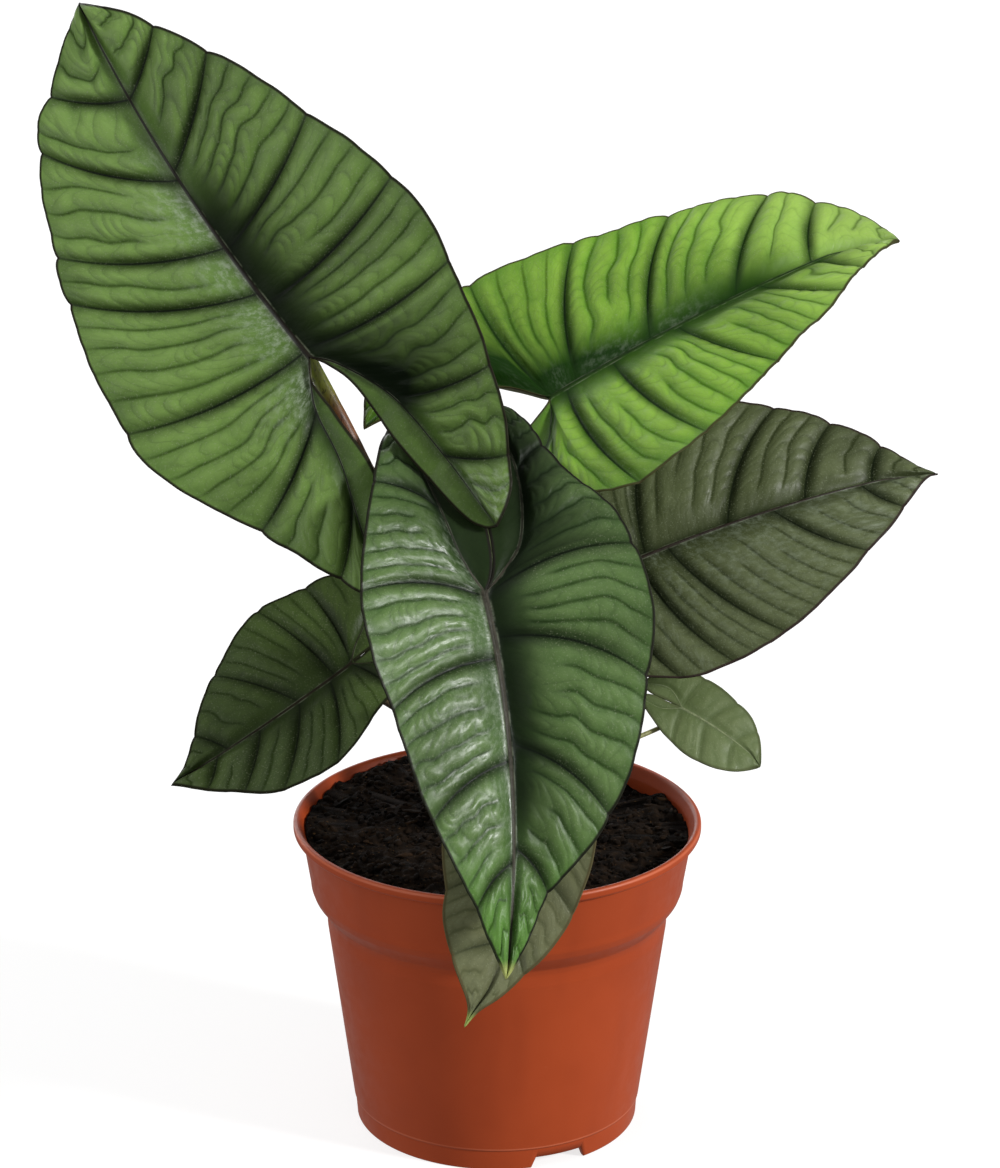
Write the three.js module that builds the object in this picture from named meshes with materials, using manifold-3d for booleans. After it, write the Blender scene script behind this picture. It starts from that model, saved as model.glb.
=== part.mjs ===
// A potted alocasia with seven quilted arrow-shaped leaves in a terracotta-coloured nursery pot.
// Millimetres, +Z up. The pot stands on z = 0.
// The model is made round the pot's axis. At the end it is moved sideways as a whole,
// so that the origin lies at the middle of the bottom of its box.

import * as THREE from 'three';
import { mergeVertices } from 'three/addons/utils/BufferGeometryUtils.js';
import Module from 'manifold-3d';

const wasm = await Module();
wasm.setup();

// Pot: a 12 cm nursery pot with a turned collar
const potHeight = 94.3;
const lipRadius = 60;
const lipHeight = 2.9;
const collarTopRadius = 57.5;
const collarFootRadius = 55.1;
const collarFootHeight = 76;
const bodyTopRadius = 50.2;
const bodyTopHeight = 62;
const lipEdge = 0.6;
const lipWidth = 2.1;
const footRadius = 41.9;
const footCreaseHeight = 6.6;
const footCreaseStep = 0.4;
const footRingWidth = 1.8;
const potWall = 1;
const potFloor = 1.4;
const floorUnderside = 3.8;
const potSides = 48;

// The turned step between body and collar: heights, and how far each lies outside the body's top
const collarStep = [[65.6, 0.1], [67.4, 0.5], [69.6, 2.3], [71.8, 3.9], [74, 4.7]];

// Pot: openings in the foot ring and the floor
const notchCount = 3;
const notchFirstAngle = -64;
const notchHeight = 3.5;
const notchBottomAngle = 22.4;
const notchTopAngle = 18;
const drainHoleCount = 6;
const drainHoleRadius = 4;
const drainHoleRing = 27;
const drainHoleFirstAngle = 30;

// Soil and crown
const clearance = 0.35;
const soilLevel = 90.6;
const soilRelief = 0.9;
const soilSlope = 0.03;
const soilHighSide = 125;
const soilDip = { x: 35, y: 36, depth: 3.4, radius: 14 };
const soilRings = [0.97, 0.9, 0.81, 0.71, 0.61, 0.51, 0.41, 0.31, 0.2, 0.1];
const crownTop = 99;
const crownTopRadius = 11.6;
const crownNeckRadius = 9.4;
const crownFoot = 72;
const crownFootRadius = 6;
const crownSides = 24;

// Blades
const bladeThickness = 0.9;
const midribThickness = 1.1;
const foldRounding = 2;
const rowBow = 0.07;
const rowColumns = [0, 0.09, 0.25, 0.45, 0.72, 1];
const stripColumns = [0, 0.5, 1];
const rowSpacing = 7;
const outlineSteps = 120;

// Petioles
const petioleSides = 10;
const petioleRings = 12;
const petioleRing = 8;

// Each leaf has its own frame. Its origin is where the petiole joins the blade.
// x runs along the midrib to the tip, y to the leaf's left, and the third axis out of the upper face.
// attach: that joint in the pot's frame. heading, pitch: where the midrib points, in degrees.
// roll: turn of the upper face about the midrib. fold: how far each half rises from the midrib.
// droop: curvature that bends the tip down. lobeDroop: the same for the lobes behind the petiole.
// sweep: sideways curvature of the midrib. quilt: height of the bulges between the main veins.
// tip: the leaf's tip. Each side lists its margin from the tip back to the end of its lobe (lobe),
// the rib from the petiole into the lobe, the margin of the notch (sinus) from the petiole back,
// and its veins: x where each leaves the midrib or rib, and x where it meets the margin.
// base: angle round the crown where the petiole rises, its radius there and at the blade.
const leaves = [
  {
    name: 'leaf_1',
    attach: [-53.6, 0, 235],
    heading: 145.7,
    pitch: 40.3,
    roll: 62.7,
    fold: 8,
    droop: 0.002,
    lobeDroop: 0.001,
    sweep: -0.00135,
    quilt: 1.9,
    tip: [132, 0],
    left: {
      margin: [
        [121, 12], [102, 29], [77, 39], [49, 48], [23, 53], [8, 55], [-15, 48], [-39, 39],
        [-54, 35], [-63, 31],
      ],
      lobe: [-67, 26],
      rib: [[-12, 8], [-29, 13], [-50, 23]],
      sinus: [[-6, 3.8], [-18, 5], [-35, 7], [-50, 14], [-61, 21]],
      veins: [[96, 112], [66, 98], [41, 68], [24, 55], [2, 16], [-13, -28], [-38, -52]],
    },
    right: {
      margin: [
        [116, -14], [98, -25], [83, -33], [57, -43], [26, -52], [5, -53], [-18, -47], [-39, -39],
        [-56, -29], [-68, -18], [-72, -11],
      ],
      lobe: [-73, -6.5],
      rib: [[-8, -5.5], [-26, -11], [-50, -10]],
      sinus: [[-6, -3], [-16, -5], [-35, -3], [-62, -2], [-70, -3.5]],
      veins: [[96, 110], [69, 92], [40, 55], [20, 22], [3, -9], [-26, -40], [-48, -62]],
    },
    base: { angle: 187, radius: 3.6, neck: 2.1, rise: 62, lean: 0.16, bend: 0, under: 5 },
    colour: 0x3c6b34,
  },
  {
    name: 'leaf_2',
    attach: [15, 38, 211.5],
    heading: 29.7,
    pitch: 21.6,
    roll: -19.4,
    fold: 10,
    droop: 0.002,
    lobeDroop: 0,
    sweep: 0.0002,
    quilt: 1.8,
    tip: [128, -6],
    left: {
      margin: [
        [128, 2], [122, 14], [110, 26], [98, 32], [77, 37], [59, 40], [42, 44], [20, 48], [3, 49],
        [-20, 47], [-38, 38],
      ],
      lobe: [-50, 24],
      rib: [[-6, 9], [-16, 20], [-32, 27]],
      sinus: [[-3, 4], [-10, 12], [-26, 19], [-40, 22]],
      veins: [[98, 116], [69, 104], [37, 72], [10, 41], [1, 6], [-14, -22], [-30, -38]],
    },
    right: {
      margin: [
        [119, -9], [101, -16], [85, -25], [56, -37], [34, -46], [19, -51], [3, -54], [-8, -53],
        [-22, -44], [-38, -31],
      ],
      lobe: [-49, -19],
      rib: [[-5, -8], [-15, -19], [-32, -22]],
      sinus: [[-2, -2], [-12, -7], [-26, -12], [-40, -15]],
      veins: [[100, 108], [78, 95], [47, 57], [23, 21], [6, -5], [-16, -27]],
    },
    base: { angle: 70, radius: 3.3, neck: 2, rise: 55, lean: 0, bend: 0.2, under: 3 },
    colour: 0x5f9a2c,
  },
  {
    name: 'leaf_3',
    attach: [-3.9, -38, 177.8],
    heading: -66.6,
    pitch: -53.6,
    roll: -4.5,
    fold: 14,
    droop: 0.003,
    lobeDroop: 0.009,
    sweep: -0.00286,
    quilt: 1.9,
    tip: [108, 0],
    left: {
      margin: [
        [102, 3], [90, 8], [79, 15], [62, 28], [41, 37], [18, 44], [0, 45], [-12, 42], [-26, 33],
        [-41, 30], [-52, 26],
      ],
      lobe: [-58, 19],
      rib: [[-5, 7], [-14, 15], [-36, 21]],
      sinus: [[-4.6, 3.5], [-13, 5.8], [-32, 8], [-50, 12]],
      veins: [[72, 84], [43, 63], [13, 29], [1, -4], [-31, -36]],
    },
    right: {
      margin: [
        [104, -3], [94, -9], [82, -16], [65, -26], [43, -33], [17, -39], [-3, -39], [-20, -32],
        [-38, -23], [-52, -13],
      ],
      lobe: [-61, -5],
      rib: [[-12, -4], [-28, -5], [-44, -5]],
      sinus: [[-4.6, 2.2], [-13, 4.3], [-32, 5], [-50, 2]],
      veins: [[76, 90], [48, 66], [19, 33], [1, -4], [-27, -39]],
    },
    base: { angle: 245, radius: 3.5, neck: 2.1, rise: 46, lean: 0, bend: 0.6, under: 0 },
    colour: 0x3f7338,
  },
  {
    name: 'leaf_4',
    attach: [38.3, 30, 163],
    heading: 18.9,
    pitch: 17.3,
    roll: -43.9,
    fold: 6,
    droop: 0.003,
    lobeDroop: 0.002,
    sweep: -0.00087,
    quilt: 1.5,
    tip: [104, -2],
    left: {
      margin: [
        [98, 3], [86, 15], [71, 26], [56, 34], [36, 41], [14, 44], [-4, 42], [-22, 34], [-38, 24],
      ],
      lobe: [-47, 14],
      rib: [[-4, 6], [-14, 13], [-30, 16]],
      sinus: [[-3, 3], [-12, 7], [-36, 9]],
      veins: [[82, 90], [59, 77], [33, 62], [6, 27], [0, -8], [-20, -32]],
    },
    right: {
      margin: [
        [98, -3.5], [85, -13], [70, -22.5], [55, -30.5], [41, -37], [24, -42], [10, -43],
        [-1, -42], [-12, -36], [-27, -28], [-38, -21],
      ],
      lobe: [-46, -12],
      rib: [[-4, -6], [-14, -12], [-30, -14]],
      sinus: [[-3, -3], [-12, -6], [-36, -7]],
      veins: [[78, 88], [48, 70], [13, 33], [3, 14], [-8, -3], [-24, -30]],
    },
    base: { angle: 8, radius: 2.9, neck: 1.7, rise: 30, lean: 0, bend: 0.2, under: 3 },
    colour: 0x4b5f44,
  },
  {
    name: 'leaf_5',
    attach: [-43.1, 14, 137],
    heading: -157.1,
    pitch: -30.7,
    roll: 29.6,
    fold: 8,
    droop: 0.003,
    lobeDroop: 0.002,
    sweep: -0.0033,
    quilt: 1.4,
    tip: [64, 0],
    left: {
      margin: [[57, 6], [46, 16], [37, 23], [22, 27], [12, 24.5], [2, 19.5], [-10, 17], [-23, 14]],
      lobe: [-32, 8],
      rib: [[-6, 5], [-18, 9]],
      sinus: [[-4, 0.6], [-10, 0.9], [-20, 4]],
      veins: [[48, 55], [33, 46], [19, 36], [8, 20], [0, -4], [-15, -20]],
    },
    right: {
      margin: [[57, -3], [46, -15], [37, -22], [27, -27], [14, -32], [3, -30], [-12, -27], [-25, -20]],
      lobe: [-34, -10],
      rib: [[-6, -5], [-18, -10]],
      sinus: [[-4, -0.6], [-10, -0.9], [-20, -4]],
      veins: [[44, 51], [19, 36], [6, 13], [0, -4], [-14, -19]],
    },
    base: { angle: 138, radius: 2.5, neck: 1.5, rise: 22, lean: 0, bend: 0.5, under: 2 },
    colour: 0x3b5a33,
  },
  {
    name: 'leaf_6',
    attach: [54.7, 20, 121],
    heading: -12.7,
    pitch: -24,
    roll: -44.6,
    fold: 4,
    droop: 0.004,
    lobeDroop: 0,
    sweep: -0.009,
    quilt: 0.5,
    tip: [29, -1],
    left: {
      margin: [[26, 3], [22, 7], [16, 10], [8, 11], [0, 11.5], [-8, 9.5]],
      lobe: [-14, 2],
      rib: [[-6, 4]],
      sinus: [[-4, 0.5], [-10, 0.7]],
      veins: [[18, 22], [8, 13], [0, 2]],
    },
    right: {
      margin: [[28, -3], [24, -8], [18, -11], [10, -12.5], [0, -10.5], [-8, -6.5]],
      lobe: [-14, -2],
      rib: [[-6, -3]],
      sinus: [[-4, -0.5], [-10, -0.7]],
      veins: [[18, 22], [8, 13], [0, 2]],
    },
    base: { angle: 323, radius: 1, neck: 0.7, rise: 14, lean: 0, bend: 0.1, under: 2 },
    colour: 0x5b7350,
  },
  {
    name: 'leaf_7',
    attach: [11.4, -46, 128.5],
    heading: -98.9,
    pitch: -57.6,
    roll: 7.9,
    fold: 6,
    droop: 0.003,
    lobeDroop: 0.004,
    sweep: -0.004,
    quilt: 1,
    tip: [76, -3],
    left: {
      margin: [[70, -1], [65, 3], [53, 10], [47, 13], [39, 16], [27, 18], [12, 19], [0, 18], [-10, 15]],
      lobe: [-19, 8],
      rib: [[-4, 4], [-11, 7]],
      sinus: [[-3, 2], [-10, 4]],
      veins: [[48, 57], [27, 38], [8, 17], [0, -2]],
    },
    right: {
      margin: [[70, -4], [60, -12], [49, -18], [40, -20], [29, -23], [14, -24], [0, -22], [-10, -17]],
      lobe: [-20, -8],
      rib: [[-4, -4], [-11, -7]],
      sinus: [[-3, -2], [-10, -4]],
      veins: [[50, 58], [29, 40], [8, 16], [0, -3]],
    },
    base: { angle: 297, radius: 2.2, neck: 1.4, rise: 20, lean: 0, bend: 0.5, under: 1 },
    colour: 0x43553f,
  },
];

const radians = THREE.MathUtils.degToRad;
const smoothstep = THREE.MathUtils.smoothstep;
const lerp = THREE.MathUtils.lerp;

// Closed bodies

function makeGeometry(positions, triangles) {
  const geometry = new THREE.BufferGeometry();
  geometry.setAttribute('position', new THREE.Float32BufferAttribute(positions, 3));
  geometry.setIndex(triangles);
  geometry.computeVertexNormals();
  return geometry;
}

function weld(geometry) {
  const bare = geometry.clone();
  bare.deleteAttribute('normal');
  bare.deleteAttribute('uv');
  return mergeVertices(bare, 1e-4);
}

function toSolid(geometry) {
  const welded = weld(geometry);
  return new wasm.Manifold(new wasm.Mesh({
    numProp: 3,
    vertProperties: new Float32Array(welded.attributes.position.array),
    triVerts: new Uint32Array(welded.index.array),
  }));
}

function fromSolid(solid) {
  const mesh = solid.getMesh();
  return makeGeometry(Array.from(mesh.vertProperties), Array.from(mesh.triVerts));
}

// A body turned about the Z axis. The outline gives [radius, height] and runs from axis to axis.
function turned(outline, sides) {
  const points = outline.map(([radius, height]) => new THREE.Vector2(radius, height));
  const geometry = new THREE.LatheGeometry(points, sides);
  geometry.rotateX(Math.PI / 2);
  return geometry;
}

function named(name, geometry, colour, roughness) {
  const material = new THREE.MeshStandardMaterial({ color: colour, roughness, metalness: 0 });
  const mesh = new THREE.Mesh(geometry, material);
  mesh.name = name;
  return mesh;
}

// Pot

function bodyRadius(height) {
  const rise = (height - footCreaseHeight) / (bodyTopHeight - footCreaseHeight);
  return lerp(footRadius + 2 * footCreaseStep, bodyTopRadius, rise);
}

function potOutline() {
  const lipFoot = potHeight - lipHeight;
  const innerFloor = floorUnderside + potFloor;
  const innerFootRadius = footRadius - footRingWidth;
  return [
    [0, floorUnderside],
    [innerFootRadius, floorUnderside],
    [innerFootRadius, 0],
    [footRadius, 0],
    [footRadius + footCreaseStep, footCreaseHeight - footCreaseStep],
    [bodyRadius(footCreaseHeight), footCreaseHeight],
    [bodyTopRadius, bodyTopHeight],
    ...collarStep.map(([height, step]) => [bodyTopRadius + step, height]),
    [collarFootRadius, collarFootHeight],
    [collarTopRadius, lipFoot - lipEdge],
    [lipRadius - lipEdge, lipFoot],
    [lipRadius, lipFoot + lipEdge],
    [lipRadius, potHeight - lipEdge],
    [lipRadius - lipEdge, potHeight],
    [lipRadius - lipWidth + lipEdge, potHeight],
    [lipRadius - lipWidth, potHeight - lipEdge],
    ...innerWall(potWall, lipFoot - lipEdge),
    [bodyRadius(innerFloor) - potWall, innerFloor],
    [0, innerFloor],
  ];
}

// The inside of the wall, or a line further in, from a height near the lip down to the floor
function innerWall(inset, top) {
  const collarRise = (top - collarFootHeight) / (potHeight - lipHeight - lipEdge - collarFootHeight);
  const step = collarStep.map(([height, radius]) => [bodyTopRadius + radius - inset, height]);
  return [
    [lerp(collarFootRadius, collarTopRadius, collarRise) - inset, top],
    [collarFootRadius - inset, collarFootHeight],
    ...step.reverse(),
    [bodyTopRadius - inset, bodyTopHeight],
  ];
}

// A wedge seen from the front as a trapezoid, wider at the bottom, that cuts one notch in the foot ring
function notchCutter(angle) {
  const reach = footRadius + 4;
  const halfBottom = reach * Math.tan(radians(notchBottomAngle / 2));
  const halfTop = reach * Math.tan(radians(notchTopAngle / 2));
  const profile = new THREE.Shape([
    new THREE.Vector2(-halfBottom, -1),
    new THREE.Vector2(halfBottom, -1),
    new THREE.Vector2(halfTop, notchHeight),
    new THREE.Vector2(-halfTop, notchHeight),
  ]);
  const geometry = new THREE.ExtrudeGeometry(profile, { depth: 12, bevelEnabled: false });
  geometry.rotateX(Math.PI / 2);
  geometry.translate(0, reach, 0);
  geometry.rotateZ(radians(angle - 90));
  return geometry;
}

function drainHoleCutter(angle) {
  const geometry = new THREE.CylinderGeometry(drainHoleRadius, drainHoleRadius, 6, 16);
  geometry.rotateX(Math.PI / 2);
  geometry.translate(drainHoleRing, 0, floorUnderside + potFloor / 2);
  geometry.rotateZ(radians(angle));
  return geometry;
}

function makePot() {
  let solid = toSolid(turned(potOutline(), potSides));
  for (let i = 0; i < notchCount; i += 1) {
    solid = solid.subtract(toSolid(notchCutter(notchFirstAngle + i * 360 / notchCount)));
  }
  for (let i = 0; i < drainHoleCount; i += 1) {
    solid = solid.subtract(toSolid(drainHoleCutter(drainHoleFirstAngle + i * 360 / drainHoleCount)));
  }
  return named('pot', fromSolid(solid), 0x97452a, 0.5);
}

// Soil: it fills the pot to just under the rim. Its crumbly top rises to the back left,
// is hollow at the back right, and has a hole where the crown stands.

function soilHeight(x, y) {
  const coarse = Math.sin(0.21 * x + 1.3) * Math.cos(0.17 * y - 0.4);
  const fine = Math.sin(0.63 * x - 0.52 * y) * Math.cos(0.41 * x + 0.71 * y + 2);
  const high = x * Math.cos(radians(soilHighSide)) + y * Math.sin(radians(soilHighSide));
  const dip = Math.exp(-(((x - soilDip.x) ** 2 + (y - soilDip.y) ** 2) / soilDip.radius ** 2));
  return soilLevel + soilRelief * (0.6 * coarse + 0.5 * fine) + soilSlope * high - soilDip.depth * dip;
}

function crownOutline(grow) {
  return [
    [0, crownFoot - grow],
    [crownFootRadius + grow, crownFoot - grow],
    [crownNeckRadius - 1 + grow, crownFoot + 6],
    [crownNeckRadius + grow, soilLevel],
    [crownNeckRadius + 0.6 + grow, soilLevel + 3],
    [crownTopRadius + grow, crownTop - 1.2],
    [crownTopRadius - 0.6 + grow, crownTop],
    [0, crownTop],
  ];
}

function makeSoil() {
  const floorTop = floorUnderside + potFloor + clearance;
  const inset = potWall + clearance;
  const wall = innerWall(inset, soilLevel).reverse();
  const rim = wall[wall.length - 1][0];
  const outline = [
    [0, floorTop],
    [bodyRadius(floorTop) - inset, floorTop],
    ...wall,
    ...soilRings.map((share) => [rim * share, soilLevel]),
    [0, soilLevel],
  ];
  const body = weld(turned(outline, potSides));
  const position = body.attributes.position;
  for (let i = 0; i < position.count; i += 1) {
    const radius = Math.hypot(position.getX(i), position.getY(i));
    if (position.getZ(i) > soilLevel - 0.01 && radius < rim * 0.98) {
      position.setZ(i, soilHeight(position.getX(i), position.getY(i)));
    }
  }
  const hole = turned(crownOutline(clearance), crownSides);
  return named('soil', fromSolid(toSolid(body).subtract(toSolid(hole))), 0x1d1411, 0.95);
}

function makeCrown() {
  return named('crown', weld(turned(crownOutline(0), crownSides)), 0x5a4a34, 0.7);
}

// Leaf frame and the curved face of a blade

function leafFrame(leaf) {
  const heading = radians(leaf.heading);
  const pitch = radians(leaf.pitch);
  const roll = radians(leaf.roll);
  const along = new THREE.Vector3(
    Math.cos(pitch) * Math.cos(heading),
    Math.cos(pitch) * Math.sin(heading),
    Math.sin(pitch),
  );
  const upright = new THREE.Vector3(0, 0, 1).addScaledVector(along, -along.z).normalize();
  const level = new THREE.Vector3().crossVectors(upright, along);
  const out = upright.clone().multiplyScalar(Math.cos(roll)).addScaledVector(level, Math.sin(roll));
  const side = new THREE.Vector3().crossVectors(out, along);
  return { origin: new THREE.Vector3(...leaf.attach), along, side, out };
}

// Forward reach and sideways reach of an arc of a given curvature after a given length
function arcReach(curvature, length) {
  if (Math.abs(curvature) < 1e-6) {
    return [length, 0];
  }
  const turn = curvature * length;
  return [Math.sin(turn) / curvature, (1 - Math.cos(turn)) / curvature];
}

function bladePoint(leaf, frame, x, y, lift) {
  const turn = leaf.sweep * x;
  const [reach, shift] = arcReach(leaf.sweep, x);
  const u = reach - y * Math.sin(turn);
  const v = shift + y * Math.cos(turn);
  const droop = u > 0 ? leaf.droop : leaf.lobeDroop;
  const [forward, drop] = arcReach(droop, u);
  const fold = radians(leaf.fold);
  const rise = (Math.hypot(v, foldRounding) - foldRounding) * Math.sin(fold) + lift;
  return frame.origin.clone()
    .addScaledVector(frame.along, forward + rise * Math.sin(droop * u))
    .addScaledVector(frame.out, rise * Math.cos(droop * u) - drop)
    .addScaledVector(frame.side, v * Math.cos(fold));
}

// Outlines of one half of a blade, as fine polylines with x and y

function polyline(points) {
  const curve = new THREE.SplineCurve(points.map(([x, y]) => new THREE.Vector2(x, y)));
  return curve.getSpacedPoints(outlineSteps);
}

// Share of a polyline's length at which its x first falls to a value
function shareAtX(line, x) {
  const index = line.findIndex((point) => point.x <= x);
  if (index <= 0) {
    return index === 0 ? 0 : 1;
  }
  const before = line[index - 1];
  const part = (before.x - x) / (before.x - line[index].x);
  return (index - 1 + part) / (line.length - 1);
}

function pointAtShare(line, share) {
  const place = THREE.MathUtils.clamp(share, 0, 1) * (line.length - 1);
  const index = Math.min(Math.floor(place), line.length - 2);
  return new THREE.Vector2().lerpVectors(line[index], line[index + 1], place - index);
}

function halfOf(leaf, side) {
  const half = leaf[side];
  const margin = polyline([leaf.tip, ...half.margin, half.lobe]);
  const rib = polyline([[0, 0], ...half.rib, half.lobe]);
  const sinus = polyline([[0, 0], ...half.sinus, half.lobe]);
  const stations = [
    { spine: leaf.tip[0], share: 0 },
    ...half.veins.map(([spine, end]) => ({ spine, share: shareAtX(margin, end) })),
    { spine: half.lobe[0], share: 1 },
  ];
  return { margin, rib, sinus, stations, lobeX: half.lobe[0] };
}

// Where a row that leaves the midrib or rib at x = spine meets the margin,
// and how far it lies between the two veins beside it, from 0 to 1
function rowAt(half, spine) {
  const stations = half.stations;
  let next = stations.findIndex((station) => station.spine <= spine);
  next = Math.max(next < 0 ? stations.length - 1 : next, 1);
  const before = stations[next - 1];
  const after = stations[next];
  const between = (before.spine - spine) / (before.spine - after.spine);
  return { share: lerp(before.share, after.share, between), between };
}

function spinePoint(leaf, half, spine) {
  if (spine >= 0) {
    const bent = smoothstep(spine, leaf.tip[0] * 0.8, leaf.tip[0]);
    return new THREE.Vector2(spine, leaf.tip[1] * bent);
  }
  return pointAtShare(half.rib, shareAtX(half.rib, spine));
}

// Height of the quilted face: nothing along the veins, most between them, less at the margin
function quiltHeight(leaf, between, across) {
  const swell = Math.pow(Math.abs(Math.sin(Math.PI * between)), 0.8);
  const rise = smoothstep(across, 0, 0.22);
  const fall = 1 - 0.55 * smoothstep(across, 0.5, 1);
  return leaf.quilt * swell * rise * fall;
}

// Blade: rows of points run from the midrib, and from the two ribs of the lobes, to the margin.
// A narrow strip lies between each lobe's rib and the notch.

function makeBlade(leaf) {
  const frame = leafFrame(leaf);
  const halves = { left: halfOf(leaf, 'left'), right: halfOf(leaf, 'right') };
  const top = [];
  const bottom = [];
  const lookup = new Map();
  const triangles = [];

  function vertex(point, lift, ribShare) {
    const key = `${point.x.toFixed(3)} ${point.y.toFixed(3)}`;
    if (!lookup.has(key)) {
      const fade = smoothstep(leaf.tip[0] - point.x, 0, leaf.tip[0]);
      const thickness = bladeThickness + midribThickness * ribShare * fade;
      lookup.set(key, top.length);
      top.push(bladePoint(leaf, frame, point.x, point.y, lift));
      bottom.push(bladePoint(leaf, frame, point.x, point.y, lift - thickness));
    }
    return lookup.get(key);
  }

  function triangle(a, b, c, flip) {
    if (a !== b && b !== c && c !== a) {
      triangles.push(flip ? [a, c, b] : [a, b, c]);
    }
  }

  function stitch(rows, flip) {
    for (let r = 0; r + 1 < rows.length; r += 1) {
      for (let c = 0; c + 1 < rows[r].length; c += 1) {
        triangle(rows[r][c], rows[r + 1][c], rows[r + 1][c + 1], flip);
        triangle(rows[r][c], rows[r + 1][c + 1], rows[r][c + 1], flip);
      }
    }
  }

  function outerRow(half, spine) {
    const start = spinePoint(leaf, half, spine);
    const { share, between } = rowAt(half, spine);
    const end = pointAtShare(half.margin, share);
    const quarter = Math.sign(end.y - start.y) * Math.PI / 2;
    const bow = end.clone().sub(start).rotateAround(new THREE.Vector2(), quarter);
    const knee = start.clone().lerp(end, 0.5).addScaledVector(bow, rowBow);
    return rowColumns.map((across) => {
      const point = start.clone().multiplyScalar((1 - across) ** 2);
      point.addScaledVector(knee, 2 * across * (1 - across)).addScaledVector(end, across ** 2);
      return vertex(point, quiltHeight(leaf, between, across), 1 - smoothstep(across, 0, 0.1));
    });
  }

  function stripRow(half, spine) {
    const start = spinePoint(leaf, half, spine);
    const { between } = rowAt(half, spine);
    const end = pointAtShare(half.sinus, shareAtX(half.rib, spine));
    return stripColumns.map((across) => {
      const lift = quiltHeight(leaf, between, 0.3 * across) * 0.6;
      return vertex(start.clone().lerp(end, across), lift, across > 0 ? 0 : 1);
    });
  }

  const shared = withMiddles([...stationsOf(halves.left), ...stationsOf(halves.right)], leaf.tip[0], 0);
  for (const side of ['left', 'right']) {
    const half = halves[side];
    const flip = side === 'left';
    const lobe = withMiddles(stationsOf(half), 0, half.lobeX);
    stitch([...shared, ...lobe.slice(1)].map((spine) => outerRow(half, spine)), flip);
    stitch(lobe.map((spine) => stripRow(half, spine)), !flip);
  }
  return closeSheet(top, bottom, triangles);
}

function stationsOf(half) {
  return half.stations.map((station) => station.spine);
}

// The places of the veins between two ends, and one or two more between neighbours
function withMiddles(places, from, to) {
  const kept = [from];
  const sorted = places.filter((place) => place < from - 1.5 && place > to + 1.5).sort((a, b) => b - a);
  for (const place of [...sorted, to]) {
    const last = kept[kept.length - 1];
    if (last - place < 2 && place !== to) {
      continue;
    }
    const steps = Math.max(1, Math.min(3, Math.round((last - place) / rowSpacing)));
    for (let step = 1; step < steps; step += 1) {
      kept.push(lerp(last, place, step / steps));
    }
    kept.push(place);
  }
  return kept;
}

// A sheet of triangles and its copy underneath, joined by a wall along the open edges
function closeSheet(top, bottom, triangles) {
  const edges = new Map();
  for (const [a, b, c] of triangles) {
    for (const [from, to] of [[a, b], [b, c], [c, a]]) {
      const twin = `${to} ${from}`;
      if (!edges.delete(twin)) {
        edges.set(`${from} ${to}`, [from, to]);
      }
    }
  }
  const count = top.length;
  const index = [];
  for (const [a, b, c] of triangles) {
    index.push(a, b, c, count + a, count + c, count + b);
  }
  for (const [from, to] of edges.values()) {
    index.push(from, count + from, count + to, from, count + to, to);
  }
  const positions = [...top, ...bottom].flatMap((point) => [point.x, point.y, point.z]);
  return makeGeometry(positions, index);
}

// Petiole: it rises from the crown and ends just under the blade, cut parallel to it

function makePetiole(leaf) {
  const frame = leafFrame(leaf);
  const { angle, radius, neck, rise, lean, bend, under } = leaf.base;
  const outward = new THREE.Vector3(Math.cos(radians(angle)), Math.sin(radians(angle)), 0);
  const foot = outward.clone().multiplyScalar(petioleRing).setZ(crownTop + clearance);
  const depth = bladeThickness + midribThickness + clearance + 0.15;
  const end = bladePoint(leaf, frame, under, 0, -depth);
  const arrive = end.clone().sub(foot).normalize();
  arrive.addScaledVector(frame.out, bend).addScaledVector(outward, lean).normalize();
  const firstHandle = foot.clone().addScaledVector(outward, rise * 0.12);
  firstHandle.z += rise;
  const lastHandle = end.clone().addScaledVector(arrive, -0.3 * end.distanceTo(foot));
  const path = new THREE.CubicBezierCurve3(foot, firstHandle, lastHandle, end);
  const positions = [];
  const index = [];
  for (let ring = 0; ring <= petioleRings; ring += 1) {
    const share = ring / petioleRings;
    const centre = path.getPoint(share);
    const tangent = ring === 0 ? new THREE.Vector3(0, 0, 1) : path.getTangent(share);
    const across = new THREE.Vector3().crossVectors(tangent, new THREE.Vector3(0.2, 1, 0)).normalize();
    const back = new THREE.Vector3().crossVectors(tangent, across);
    const size = lerp(neck, radius, Math.pow(1 - share, 2.2));
    for (let i = 0; i < petioleSides; i += 1) {
      const turn = 2 * Math.PI * i / petioleSides;
      const offset = across.clone().multiplyScalar(size * Math.cos(turn));
      offset.addScaledVector(back, size * Math.sin(turn));
      if (ring === petioleRings) {
        offset.addScaledVector(tangent, -offset.dot(frame.out) / tangent.dot(frame.out));
      }
      const point = centre.clone().add(offset);
      positions.push(point.x, point.y, point.z);
    }
  }
  for (let ring = 0; ring < petioleRings; ring += 1) {
    for (let i = 0; i < petioleSides; i += 1) {
      const a = ring * petioleSides + i;
      const b = ring * petioleSides + (i + 1) % petioleSides;
      index.push(a, b, b + petioleSides, a, b + petioleSides, a + petioleSides);
    }
  }
  for (let i = 1; i + 1 < petioleSides; i += 1) {
    const last = petioleRings * petioleSides;
    index.push(0, i + 1, i, last, last + i, last + i + 1);
  }
  return makeGeometry(positions, index);
}

// The whole plant in its pot

const plant = new THREE.Group();
plant.add(makePot(), makeSoil(), makeCrown());
for (const leaf of leaves) {
  plant.add(named(`${leaf.name}_petiole`, makePetiole(leaf), 0x6f6a35, 0.6));
  plant.add(named(`${leaf.name}_blade`, makeBlade(leaf), leaf.colour, 0.45));
}

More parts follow.
